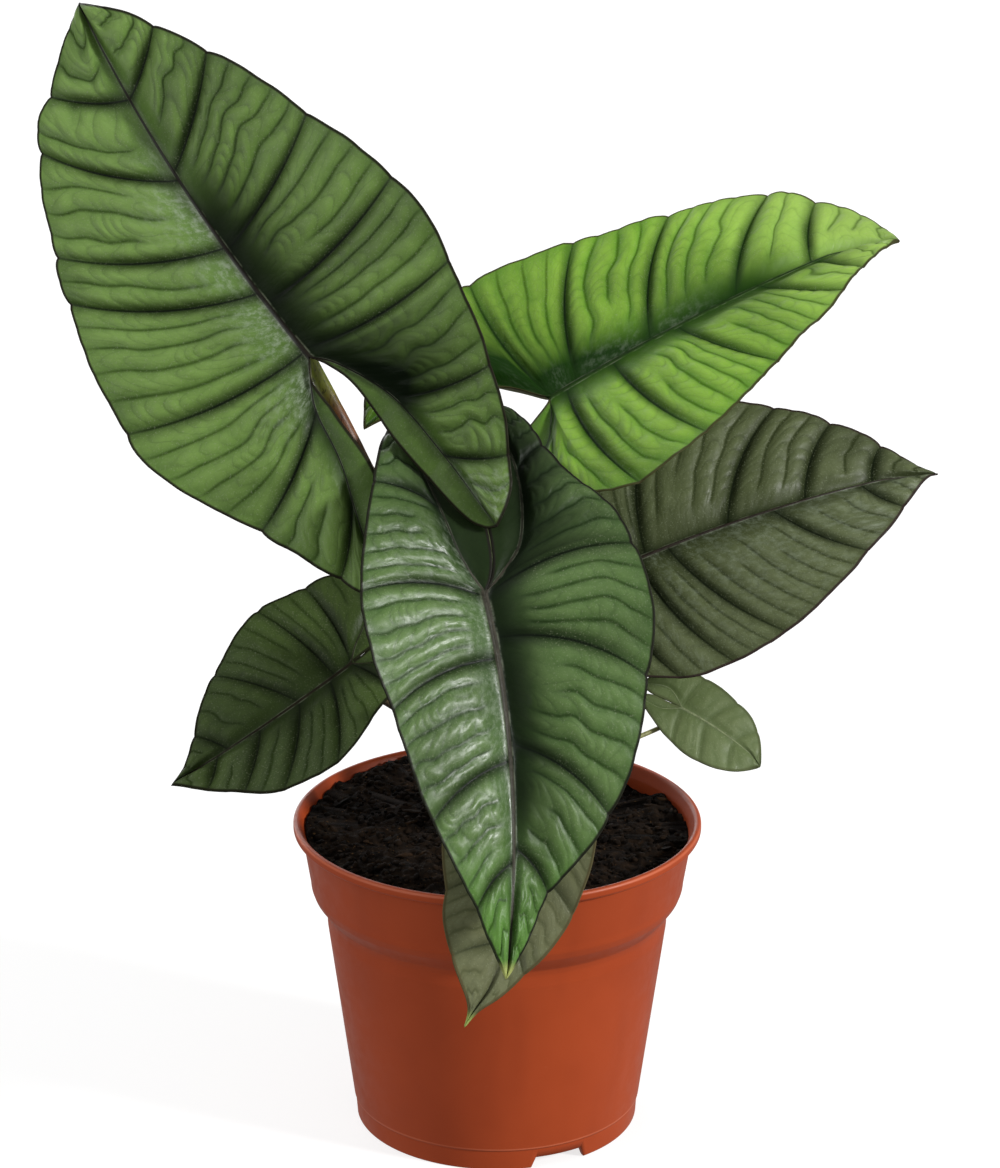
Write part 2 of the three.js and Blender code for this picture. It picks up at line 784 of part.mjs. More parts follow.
const box = new THREE.Box3().setFromObject(plant);
const middle = box.getCenter(new THREE.Vector3());
plant.position.set(-middle.x, -middle.y, 0);

const model = new THREE.Group();
model.add(plant);

export default model;
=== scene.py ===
import math

import bmesh
import bpy
import numpy as np
from mathutils import Matrix, Vector


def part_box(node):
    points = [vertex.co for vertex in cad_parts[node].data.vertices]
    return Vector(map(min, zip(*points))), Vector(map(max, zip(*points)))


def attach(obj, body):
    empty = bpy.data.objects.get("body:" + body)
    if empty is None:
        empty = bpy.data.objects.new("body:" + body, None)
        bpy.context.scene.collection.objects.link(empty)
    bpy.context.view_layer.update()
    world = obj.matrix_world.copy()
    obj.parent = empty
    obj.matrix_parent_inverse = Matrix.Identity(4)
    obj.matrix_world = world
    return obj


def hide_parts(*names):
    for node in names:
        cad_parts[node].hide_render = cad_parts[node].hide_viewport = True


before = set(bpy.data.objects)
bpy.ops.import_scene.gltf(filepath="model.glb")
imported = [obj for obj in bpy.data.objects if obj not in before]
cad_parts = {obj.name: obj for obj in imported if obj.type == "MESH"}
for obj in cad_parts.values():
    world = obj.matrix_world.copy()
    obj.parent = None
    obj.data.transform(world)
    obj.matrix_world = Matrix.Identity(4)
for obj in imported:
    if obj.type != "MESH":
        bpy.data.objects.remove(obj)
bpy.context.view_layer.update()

# A potted alocasia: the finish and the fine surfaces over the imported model.
# Sizes are in millimetres from the pot's axis until a mesh is made, and then in metres.
# Angles are in degrees, and colours are screen values from 0 to 255.

MM = 0.001
pot_low, pot_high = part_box("pot")
AXIS = np.array([(pot_low.x + pot_high.x) / 2, (pot_low.y + pot_high.y) / 2, 0.0])

# Pot
POT_HEIGHT = 94.3
LIP_RADIUS = 60
LIP_HEIGHT = 2.9
LIP_WIDTH = 2.1
LIP_EDGE = 0.6
COLLAR_TOP_RADIUS = 57.5
COLLAR_FOOT_RADIUS = 55.1
COLLAR_FOOT_HEIGHT = 76
BODY_TOP_RADIUS = 50.2
BODY_TOP_HEIGHT = 62
COLLAR_STEP = [(65.6, 0.1), (67.4, 0.5), (69.6, 2.3), (71.8, 3.9), (74, 4.7)]
FOOT_RADIUS = 41.9
FOOT_CREASE_HEIGHT = 6.6
FOOT_CREASE_STEP = 0.4
FOOT_RING_WIDTH = 1.8
POT_WALL = 1
POT_FLOOR = 1.4
FLOOR_UNDERSIDE = 3.8
NOTCH_COUNT = 3
NOTCH_FIRST_ANGLE = -64
NOTCH_HEIGHT = 3.5
NOTCH_BOTTOM_ANGLE = 22.4
NOTCH_TOP_ANGLE = 18
DRAIN_HOLE_COUNT = 6
DRAIN_HOLE_RADIUS = 4
DRAIN_HOLE_RING = 27
DRAIN_HOLE_FIRST_ANGLE = 30

# Soil and crown
SOIL_LEVEL = 90.6
SOIL_RELIEF = 0.9
SOIL_SLOPE = 0.03
SOIL_HIGH_SIDE = 125
SOIL_DIP = {"x": 35, "y": 36, "depth": 3.4, "radius": 14}
CROWN_TOP = 99
CROWN_TOP_RADIUS = 11.6
CROWN_NECK_RADIUS = 9.4

# Blades and petioles. x runs from the petiole's joint along the midrib to the tip, y to its left.
# margin, rib and sinus are the lines from the tip, the joint and the joint to the end of the lobe.
# veins are pairs: where a main vein leaves the midrib or rib, and where it reaches the margin.
# fold, quilt: the halves' rise, and the height of the bulges between veins. droop, lobe_droop
# and sweep are curvatures. base says how the petiole leaves the crown and meets the blade.
BLADE_THICKNESS = 0.5
MIDRIB_THICKNESS = 1.1
VEIN_THICKNESS = 0.3
RIM_BULGE = 0.45
FOLD_ROUNDING = 2
PETIOLE_RING = 8

LEAVES = [
    {
        "name": "leaf_1",
        "attach": (-53.6, 0, 235),
        "heading": 145.7,
        "pitch": 40.3,
        "roll": 62.7,
        "fold": 8,
        "droop": 0.002,
        "lobe_droop": 0.001,
        "sweep": -0.00135,
        "quilt": 1.9,
        "tip": (132, 0),
        "left": {
            "margin": [(121, 12), (102, 29), (77, 39), (49, 48), (23, 53), (8, 55), (-15, 48),
                       (-39, 39), (-54, 35), (-63, 31)],
            "lobe": (-67, 26),
            "rib": [(-12, 8), (-29, 13), (-50, 23)],
            "sinus": [(-6, 3.8), (-18, 5), (-35, 7), (-50, 14), (-61, 21)],
            "veins": [(96, 112), (66, 98), (41, 68), (24, 55), (2, 16), (-13, -28), (-38, -52)],
        },
        "right": {
            "margin": [(116, -14), (98, -25), (83, -33), (57, -43), (26, -52), (5, -53), (-18, -47),
                       (-39, -39), (-56, -29), (-68, -18), (-72, -11)],
            "lobe": (-73, -6.5),
            "rib": [(-8, -5.5), (-26, -11), (-50, -10)],
            "sinus": [(-6, -3), (-16, -5), (-35, -3), (-62, -2), (-70, -3.5)],
            "veins": [(96, 110), (69, 92), (40, 55), (20, 22), (3, -9), (-26, -40), (-48, -62)],
        },
        "base": {"angle": 187, "radius": 3.6, "neck": 2.1, "rise": 62, "lean": 0.16, "bend": 0, "under": 5},
        "slot": "blade_mid_green",
    },
    {
        "name": "leaf_2",
        "attach": (15, 38, 211.5),
        "heading": 29.7,
        "pitch": 21.6,
        "roll": -19.4,
        "fold": 10,
        "droop": 0.002,
        "lobe_droop": 0,
        "sweep": 0.0002,
        "quilt": 1.8,
        "tip": (128, -6),
        "left": {
            "margin": [(128, 2), (122, 14), (110, 26), (98, 32), (77, 37), (59, 40), (42, 44), (20, 48),
                       (3, 49), (-20, 47), (-38, 38)],
            "lobe": (-50, 24),
            "rib": [(-6, 9), (-16, 20), (-32, 27)],
            "sinus": [(-3, 4), (-10, 12), (-26, 19), (-40, 22)],
            "veins": [(98, 116), (69, 104), (37, 72), (10, 41), (1, 6), (-14, -22), (-30, -38)],
        },
        "right": {
            "margin": [(119, -9), (101, -16), (85, -25), (56, -37), (34, -46), (19, -51), (3, -54),
                       (-8, -53), (-22, -44), (-38, -31)],
            "lobe": (-49, -19),
            "rib": [(-5, -8), (-15, -19), (-32, -22)],
            "sinus": [(-2, -2), (-12, -7), (-26, -12), (-40, -15)],
            "veins": [(100, 108), (78, 95), (47, 57), (23, 21), (6, -5), (-16, -27)],
        },
        "base": {"angle": 70, "radius": 3.3, "neck": 2, "rise": 55, "lean": 0, "bend": 0.2, "under": 3},
        "slot": "blade_bright_green",
    },
    {
        "name": "leaf_3",
        "attach": (-3.9, -38, 177.8),
        "heading": -66.6,
        "pitch": -53.6,
        "roll": -4.5,
        "fold": 14,
        "droop": 0.003,
        "lobe_droop": 0.009,
        "sweep": -0.00286,
        "quilt": 1.9,
        "tip": (108, 0),
        "left": {
            "margin": [(102, 3), (90, 8), (79, 15), (62, 28), (41, 37), (18, 44), (0, 45), (-12, 42),
                       (-26, 33), (-41, 30), (-52, 26)],
            "lobe": (-58, 19),
            "rib": [(-5, 7), (-14, 15), (-36, 21)],
            "sinus": [(-4.6, 3.5), (-13, 5.8), (-32, 8), (-50, 12)],
            "veins": [(72, 84), (43, 63), (13, 29), (1, -4), (-31, -36)],
        },
        "right": {
            "margin": [(104, -3), (94, -9), (82, -16), (65, -26), (43, -33), (17, -39), (-3, -39),
                       (-20, -32), (-38, -23), (-52, -13)],
            "lobe": (-61, -5),
            "rib": [(-12, -4), (-28, -5), (-44, -5)],
            "sinus": [(-4.6, 3), (-13, 5.1), (-32, 7.1), (-50, 6)],
            "veins": [(76, 90), (48, 66), (19, 33), (1, -4), (-27, -39)],
        },
        "base": {"angle": 245, "radius": 3.5, "neck": 2.1, "rise": 46, "lean": 0, "bend": 0.6, "under": 0},
        "slot": "blade_mid_green",
    },
    {
        "name": "leaf_4",
        "attach": (38.3, 30, 163),
        "heading": 18.9,
        "pitch": 17.3,
        "roll": -43.9,
        "fold": 6,
        "droop": 0.003,
        "lobe_droop": 0.002,
        "sweep": -0.00087,
        "quilt": 1.5,
        "tip": (104, -2),
        "left": {
            "margin": [(98, 3), (86, 15), (71, 26), (56, 34), (36, 41), (14, 44), (-4, 42), (-22, 34),
                       (-38, 24)],
            "lobe": (-47, 14),
            "rib": [(-4, 6), (-14, 13), (-30, 16)],
            "sinus": [(-3, 3), (-12, 7), (-36, 9)],
            "veins": [(82, 90), (59, 77), (33, 62), (6, 27), (0, -8), (-20, -32)],
        },
        "right": {
            "margin": [(98, -3.5), (85, -13), (70, -22.5), (55, -30.5), (41, -37), (24, -42), (10, -43),
                       (-1, -42), (-12, -36), (-27, -28), (-38, -21)],
            "lobe": (-46, -12),
            "rib": [(-4, -6), (-14, -12), (-30, -14)],
            "sinus": [(-3, -3), (-12, -6), (-36, -7)],
            "veins": [(78, 88), (48, 70), (13, 33), (3, 14), (-8, -3), (-24, -30)],
        },
        "base": {"angle": 8, "radius": 2.9, "neck": 1.7, "rise": 30, "lean": 0, "bend": 0.2, "under": 3},
        "slot": "blade_grey_green",
    },
    {
        "name": "leaf_5",
        "attach": (-43.1, 14, 137),
        "heading": -157.1,
        "pitch": -30.7,
        "roll": 29.6,
        "fold": 8,
        "droop": 0.003,
        "lobe_droop": 0.002,
        "sweep": -0.0033,
        "quilt": 1.4,
        "tip": (64, 0),
        "left": {
            "margin": [(57, 6), (46, 16), (37, 23), (22, 27), (12, 24.5), (2, 19.5), (-10, 17), (-23, 14)],
            "lobe": (-32, 8),
            "rib": [(-6, 5), (-18, 9)],
            "sinus": [(-4, 0.24), (-14, 0.26), (-24, 4)],
            "veins": [(48, 55), (33, 46), (19, 36), (8, 20), (0, -4), (-15, -20)],
        },
        "right": {
            "margin": [(57, -3), (46, -15), (37, -22), (27, -27), (14, -32), (3, -30), (-12, -27),
                       (-25, -20)],
            "lobe": (-34, -10),
            "rib": [(-6, -5), (-18, -10)],
            "sinus": [(-4, -0.24), (-14, -0.26), (-24, -4)],
            "veins": [(44, 51), (19, 36), (6, 13), (0, -4), (-14, -19)],
        },
        "base": {"angle": 138, "radius": 2.5, "neck": 1.5, "rise": 22, "lean": 0, "bend": 0.5, "under": 2},
        "slot": "blade_dark_green",
    },
    {
        "name": "leaf_6",
        "attach": (54.7, 20, 121),
        "heading": -12.7,
        "pitch": -24,
        "roll": -44.6,
        "fold": 4,
        "droop": 0.004,
        "lobe_droop": 0,
        "sweep": -0.009,
        "quilt": 0.5,
        "tip": (29, -1),
        "left": {
            "margin": [(26, 3), (22, 7), (16, 10), (8, 11), (0, 11.5), (-8, 9.5)],
            "lobe": (-14, 2),
            "rib": [(-6, 4)],
            "sinus": [(-4, 0.26), (-10, 0.3)],
            "veins": [(18, 22), (8, 13), (0, 2)],
        },
        "right": {
            "margin": [(28, -3), (24, -8), (18, -11), (10, -12.5), (0, -10.5), (-8, -6.5)],
            "lobe": (-14, -2),
            "rib": [(-6, -3)],
            "sinus": [(-4, -0.26), (-10, -0.3)],
            "veins": [(18, 22), (8, 13), (0, 2)],
        },
        "base": {"angle": 323, "radius": 1, "neck": 0.7, "rise": 14, "lean": 0, "bend": 0.1, "under": 2},
        "slot": "blade_grey_green",
    },
    {
        "name": "leaf_7",
        "attach": (11.4, -46, 128.5),
        "heading": -98.9,
        "pitch": -57.6,
        "roll": 7.9,
        "fold": 6,
        "droop": 0.003,
        "lobe_droop": 0.004,
        "sweep": -0.004,
        "quilt": 1,
        "tip": (76, -3),
        "left": {
            "margin": [(70, -1), (65, 3), (53, 10), (47, 13), (39, 16), (27, 18), (12, 19), (0, 18),
                       (-10, 15)],
            "lobe": (-19, 8),
            "rib": [(-4, 4), (-11, 7)],
            "sinus": [(-3, 2), (-10, 4)],
            "veins": [(48, 57), (27, 38), (8, 17), (0, -2)],
        },
        "right": {
            "margin": [(70, -4), (60, -12), (49, -18), (40, -20), (29, -23), (14, -24), (0, -22),
                       (-10, -17)],
            "lobe": (-20, -8),
            "rib": [(-4, -4), (-11, -7)],
            "sinus": [(-3, -2), (-10, -4)],
            "veins": [(50, 58), (29, 40), (8, 16), (0, -3)],
        },
        "base": {"angle": 297, "radius": 2.2, "neck": 1.4, "rise": 20, "lean": 0, "bend": 0.5, "under": 1},
        "slot": "blade_dark_green",
    },
]

# How each blade looks. mid, light and dark are the greens between veins, on bulges, and along veins
# and in the painted shade; young the green towards the tip, pale_tip the tip, spine the midrib's cord and
# margin the rim. bow bends the veins, as a share of their length. second is the distance between finer
# veins and cord the half width of the midrib, in mm. fresh: where young starts and is full, and its
# strength. The silvery and the dark patches beside the midrib, the first silvery colour with a painted
# sheen on it, the second partly pigment and partly painted shade, each give side, from x, to x, width
# in mm, strength. veins, relief and sway scale the dark of the veins, partly their colour and partly
# painted shade in their hollows, the fine relief and how far finer veins wander, scallop is the depth
# of the margin's scallops in mm, and strip the painted shade beside the notch.
COMMON_LOOK = {"veins": 1, "gloss": 0.24, "scallop": 0.9, "relief": 1, "strip": 0.35, "sway": 1, "silver_and_painted_sheen": []}
LOOKS = {
    "leaf_1": {
        "mid": (80, 109, 45), "light": (110, 140, 68), "dark": (11, 20, 8),
        "spine": (34, 30, 25), "margin": (30, 25, 20),
        "bow": 0.11, "second": 8.5, "cord": 0.7,
        "silver_and_painted_sheen": [("left", -10, 75, 11, 0.6), ("right", -90, -58, 18, 0.6)],
        "pigment_and_painted_shade": [("right", -30, 62, 18, 0.97), ("right", -80, -20, 32, 0.3), ("left", -60, 0, 5, 0.6)],
    },
    "leaf_2": {
        "mid": (87, 134, 30), "light": (130, 170, 58), "dark": (20, 46, 8),
        "spine": (34, 56, 20), "margin": (56, 52, 32), "young": (158, 186, 96), "fresh": (50, 128, 0.55),
        "bow": 0.12, "second": 8, "cord": 0.6, "scallop": 0.45,
        "silver_and_painted_sheen": [("left", 0, 60, 8, 0.16)],
        "pigment_and_painted_shade": [("right", -10, 110, 6, 0.8), ("left", -30, 90, 9, 0.97), ("left", -60, 22, 40, 0.5)],
    },
    "leaf_3": {
        "mid": (61, 87, 41), "light": (90, 115, 64), "dark": (12, 20, 10),
        "spine": (62, 59, 50), "margin": (28, 26, 22), "pale_tip": (168, 176, 104),
        "young": (84, 132, 48), "fresh": (62, 104, 0.7),
        "bow": 0.18, "second": 7, "cord": 0.95, "strip": 0.85,
        "silver_and_painted_sheen": [("right", -20, 78, 22, 0.3)],
        "pigment_and_painted_shade": [("left", -60, 70, 13, 0.95), ("right", -60, 0, 5, 0.5), ("right", -70, -12, 30, 0.4)],
    },
    "leaf_4": {
        "mid": (70, 78, 48), "light": (92, 101, 68), "dark": (22, 28, 16),
        "spine": (50, 43, 37), "margin": (48, 38, 36),
        "bow": 0.15, "second": 7, "cord": 0.5, "gloss": 0.14, "scallop": 0.5, "relief": 0.75, "sway": 0.4,
        "silver_and_painted_sheen": [("right", 0, 95, 34, 0.24)],
        "pigment_and_painted_shade": [("right", -10, 60, 4, 0.5), ("left", -10, 60, 4, 0.5)],
    },
    "leaf_5": {
        "mid": (64, 82, 38), "light": (84, 104, 52), "dark": (18, 25, 12),
        "spine": (44, 40, 30), "margin": (34, 34, 24),
        "bow": 0.1, "second": 6.5, "cord": 0.5, "veins": 0.8,
        "gloss": 0.18, "scallop": 0.35, "relief": 0.7, "sway": 0.6,
        "pigment_and_painted_shade": [("left", -32, 40, 9, 0.6), ("right", -32, 60, 22, 0.4)],
    },
    "leaf_6": {
        "mid": (94, 108, 68), "light": (110, 122, 82), "dark": (66, 80, 46),
        "spine": (132, 142, 104), "margin": (84, 92, 62),
        "bow": 0.1, "second": 4, "cord": 0.3, "veins": 0.12, "gloss": 0.18, "scallop": 0.3, "relief": 0.6,
        "pigment_and_painted_shade": [("left", -14, 2, 5, 0.6), ("right", -14, 2, 4, 0.6)],
    },
    "leaf_7": {
        "mid": (96, 99, 68), "light": (114, 118, 88), "dark": (32, 40, 27),
        "spine": (98, 100, 72), "margin": (84, 78, 54), "pale_tip": (150, 168, 92),
        "bow": 0.12, "second": 5.5, "cord": 0.4, "veins": 0.5, "gloss": 0.18, "scallop": 0.5, "relief": 0.55,
        "pigment_and_painted_shade": [("left", -20, 50, 4, 0.4), ("right", -20, 50, 4, 0.4)],
    },
}


def look_of(leaf):
    return {**COMMON_LOOK, **LOOKS[leaf["name"]]}


def smoothstep(value, low, high):
    share = np.clip((value - low) / (high - low), 0, 1)
    return share * share * (3 - 2 * share)


def lattice(i, j, seed):
    """A repeatable value from -1 to 1 for each whole-numbered place."""
    wave = np.sin(i * 127.1 + j * 311.7 + seed * 74.7) * 43758.5453
    return 2 * (wave - np.floor(wave)) - 1


def wander(x, y, seed):
    """Smooth noise from -1 to 1, with one bump to a unit."""
    x, y = np.broadcast_arrays(np.asarray(x, float), np.asarray(y, float))
    i, j = np.floor(x), np.floor(y)
    u, v = smoothstep(x - i, 0, 1), smoothstep(y - j, 0, 1)
    low = lattice(i, j, seed) * (1 - u) + lattice(i + 1, j, seed) * u
    high = lattice(i, j + 1, seed) * (1 - u) + lattice(i + 1, j + 1, seed) * u
    return low * (1 - v) + high * v


def spline(points, count):
    """A curve through points, as in the CAD source, sampled at equal steps of its length."""
    points = np.array(points, float)
    padded = np.vstack([points[:1], points, points[-1:]])
    steps = np.linspace(0, 1, 41)[:-1, None]
    pieces = []
    for k in range(len(points) - 1):
        before, start, end, after = padded[k:k + 4]
        leave, arrive = (end - before) / 2, (after - start) / 2
        cubic = 2 * start - 2 * end + leave + arrive
        square = -3 * start + 3 * end - 2 * leave - arrive
        pieces.append(cubic * steps ** 3 + square * steps ** 2 + leave * steps + start)
    fine = np.vstack([*pieces, points[-1:]])
    length = np.concatenate([[0], np.cumsum(np.linalg.norm(np.diff(fine, axis=0), axis=1))])
    even = np.linspace(0, length[-1], count)
    return np.stack([np.interp(even, length, fine[:, k]) for k in (0, 1)], 1)


# Steps in an outline, and the distance over which the margin's corners are eased
OUTLINE_STEPS = 400
MARGIN_EASE = 6


def softened(line, reach):
    """A sampled line with its corners eased over a distance in millimetres. Its ends stay."""
    step = np.linalg.norm(np.diff(line, axis=0), axis=1).mean()
    count = max(1, int(reach / step))
    weights = np.hanning(2 * count + 3)[1:-1]
    weights /= weights.sum()
    first = 2 * line[0] - line[1:count + 1][::-1]
    last = 2 * line[-1] - line[-count - 1:-1][::-1]
    padded = np.vstack([first, line, last])
    return np.stack([np.convolve(padded[:, k], weights, "valid") for k in (0, 1)], 1)


def share_at_x(line, x):
    """Share of a line's length at which its x first falls to a value."""
    below = np.nonzero(line[:, 0] <= x)[0]
    if len(below) == 0:
        return 1.0
    index = below[0]
    if index == 0:
        return 0.0
    part = (line[index - 1, 0] - x) / (line[index - 1, 0] - line[index, 0])
    return (index - 1 + part) / (len(line) - 1)


def point_at_share(line, share):
    place = np.clip(share, 0, 1) * (len(line) - 1)
    return np.array([np.interp(place, np.arange(len(line)), line[:, k]) for k in (0, 1)])


class Half:
    """One half of a blade: its outlines, and where its main veins leave and arrive."""

    def __init__(self, leaf, side):
        data = leaf[side]
        self.leaf = leaf
        self.side = side
        self.sign = 1 if side == "left" else -1
        outline = spline([leaf["tip"], *data["margin"], data["lobe"]], OUTLINE_STEPS)
        self.margin = softened(outline, MARGIN_EASE)
        self.rib = spline([(0, 0), *data["rib"], data["lobe"]], OUTLINE_STEPS)
        self.sinus = spline([(0, 0), *data["sinus"], data["lobe"]], OUTLINE_STEPS)
        self.lobe_x = data["lobe"][0]
        self.margin_length = np.linalg.norm(np.diff(self.margin, axis=0), axis=1).sum()
        self.spines = [leaf["tip"][0], *[spine for spine, _ in data["veins"]], self.lobe_x]
        self.shares = [0, *[share_at_x(self.margin, end) for _, end in data["veins"]], 1]

    def spine_point(self, spine):
        if spine >= 0:
            tip = self.leaf["tip"]
            return np.array([spine, tip[1] * smoothstep(spine, tip[0] * 0.8, tip[0])])
        return point_at_share(self.rib, share_at_x(self.rib, spine))

    def row(self, spine):
        """Where the row from a place on the midrib or rib starts and ends, the vein before it, its share
        of the way to the next one, and how far apart the two veins end and start."""
        after = next((k for k, place in enumerate(self.spines) if place <= spine), len(self.spines) - 1)
        after = max(after, 1)
        between = (self.spines[after - 1] - spine) / (self.spines[after - 1] - self.spines[after])
        share = self.shares[after - 1] * (1 - between) + self.shares[after] * between
        width = (self.shares[after] - self.shares[after - 1]) * self.margin_length
        narrow = self.spines[after - 1] - self.spines[after]
        return self.spine_point(spine), point_at_share(self.margin, share), after - 1, between, width, narrow


def leaf_frame(leaf):
    heading, pitch, roll = (math.radians(leaf[key]) for key in ("heading", "pitch", "roll"))
    level = math.cos(pitch)
    along = np.array([level * math.cos(heading), level * math.sin(heading), math.sin(pitch)])
    upright = np.array([0, 0, 1]) - along[2] * along
    upright /= np.linalg.norm(upright)
    out = upright * math.cos(roll) + np.cross(upright, along) * math.sin(roll)
    return along, np.cross(out, along), out


def arc_reach(curvature, length):
    """Forward and sideways reach of an arc of a given curvature after a given length."""
    curvature = np.where(np.abs(curvature) < 1e-6, 1e-6, curvature)
    return np.sin(curvature * length) / curvature, (1 - np.cos(curvature * length)) / curvature


def blade_points(leaf, x, y, lift):
    """Points of a curved blade, in millimetres from the pot's axis."""
    along, side, out = leaf_frame(leaf)
    turn = leaf["sweep"] * x
    reach, shift = arc_reach(leaf["sweep"], x)
    u = reach - y * np.sin(turn)
    v = shift + y * np.cos(turn)
    droop = np.where(u > 0, leaf["droop"], leaf["lobe_droop"])
    forward, drop = arc_reach(droop, u)
    fold = math.radians(leaf["fold"])
    rise = (np.hypot(v, FOLD_ROUNDING) - FOLD_ROUNDING) * math.sin(fold) + lift
    return (np.array(leaf["attach"])
            + np.outer(forward + rise * np.sin(droop * u), along)
            + np.outer(rise * np.cos(droop * u) - drop, out)
            + np.outer(v * math.cos(fold), side))


# The relief of a blade: bulges between the main veins, smaller ones between the finer veins, and
# short cross wrinkles between those. The three bulges below are shares of the blade's quilt.

CELL = 0.76
RIB_REACH = 0.22
STRIP_BULGE = 0.4
WRINKLE_BULGE = 0.2
GRAIN_BULGE = 0.035
PUFF_SHARE = 0.56
CROSS_STEP = 0.85
PLEAT_HEIGHT = 0.14
PLEAT_REACH = 9
GROOVE_DEPTH = 0.16
GROOVE_WIDTH = 0.7
MARGIN_WAVE = 0.9
MARGIN_WANDER = 0.3
FAR_FROM_VEINS = 20


def scalloped(look, half, ends, between, seed):
    """The ends of the rows, moved so that the margin bulges a little between the main veins."""
    nearest = np.argmin(((ends[:, None, :] - half.margin[None, :, :]) ** 2).sum(-1), axis=1)
    tangents = np.gradient(half.margin, axis=0)
    tangents /= np.linalg.norm(tangents, axis=1, keepdims=True)
    outward = half.sign * np.stack([tangents[:, 1], -tangents[:, 0]], 1)[nearest]
    run = nearest / (len(half.margin) - 1) * half.margin_length
    fade = smoothstep(run, 3, 18) * (1 - smoothstep(run, half.margin_length - 14, half.margin_length - 2))
    bulge = np.abs(np.sin(math.pi * between)) ** 0.6 - 0.5
    depth = look["scallop"] * bulge + MARGIN_WANDER * wander(run / 7, 0.5, seed + 15)
    return ends + outward * (fade * depth)[:, None]


def line_strength(index, line, count, across, seed):
    """How deep a finer vein is along its way. Many start part of the way out, as forks of others."""
    start = 0.07 + 0.26 * (lattice(index * 3.0 + line * 7.0, line * 1.7, seed + 23) > 0.5)
    start = start + 0.05 * lattice(index * 5.0 + line, line, seed + 25)
    own = smoothstep(across, start, start + 0.18)
    return np.where((line <= 0) | (line >= count), 1.0, own)


def cord_width(leaf, look, starts):
    """Half width of the midrib and the lobes' ribs at the places where the rows start."""
    tip, lobe = leaf["tip"][0], min(leaf["left"]["lobe"][0], leaf["right"]["lobe"][0])
    ahead = 1 - 0.7 * starts / tip
    behind = 0.32 - 0.14 * starts / lobe
    return look["cord"] * np.where(starts >= 0, ahead, behind)


def cord_height(cord, to_rib):
    return (0.15 + 0.4 * cord) * np.exp(-(to_rib / (cord + 0.12)) ** 2)


def bowed_rows(starts, ends, bow, across):
    """x and y along each row, which bends forward as the veins do."""
    chord = ends - starts
    turned = np.stack([-chord[:, 1], chord[:, 0]], 1) * np.sign(chord[:, 1:2])
    knees = (starts + ends) / 2 + turned * bow
    weights = ((1 - across) ** 2, 2 * across * (1 - across), across ** 2)
    return [sum(weight * line[:, k:k + 1] for weight, line in zip(weights, (starts, knees, ends)))
            for k in (0, 1)]


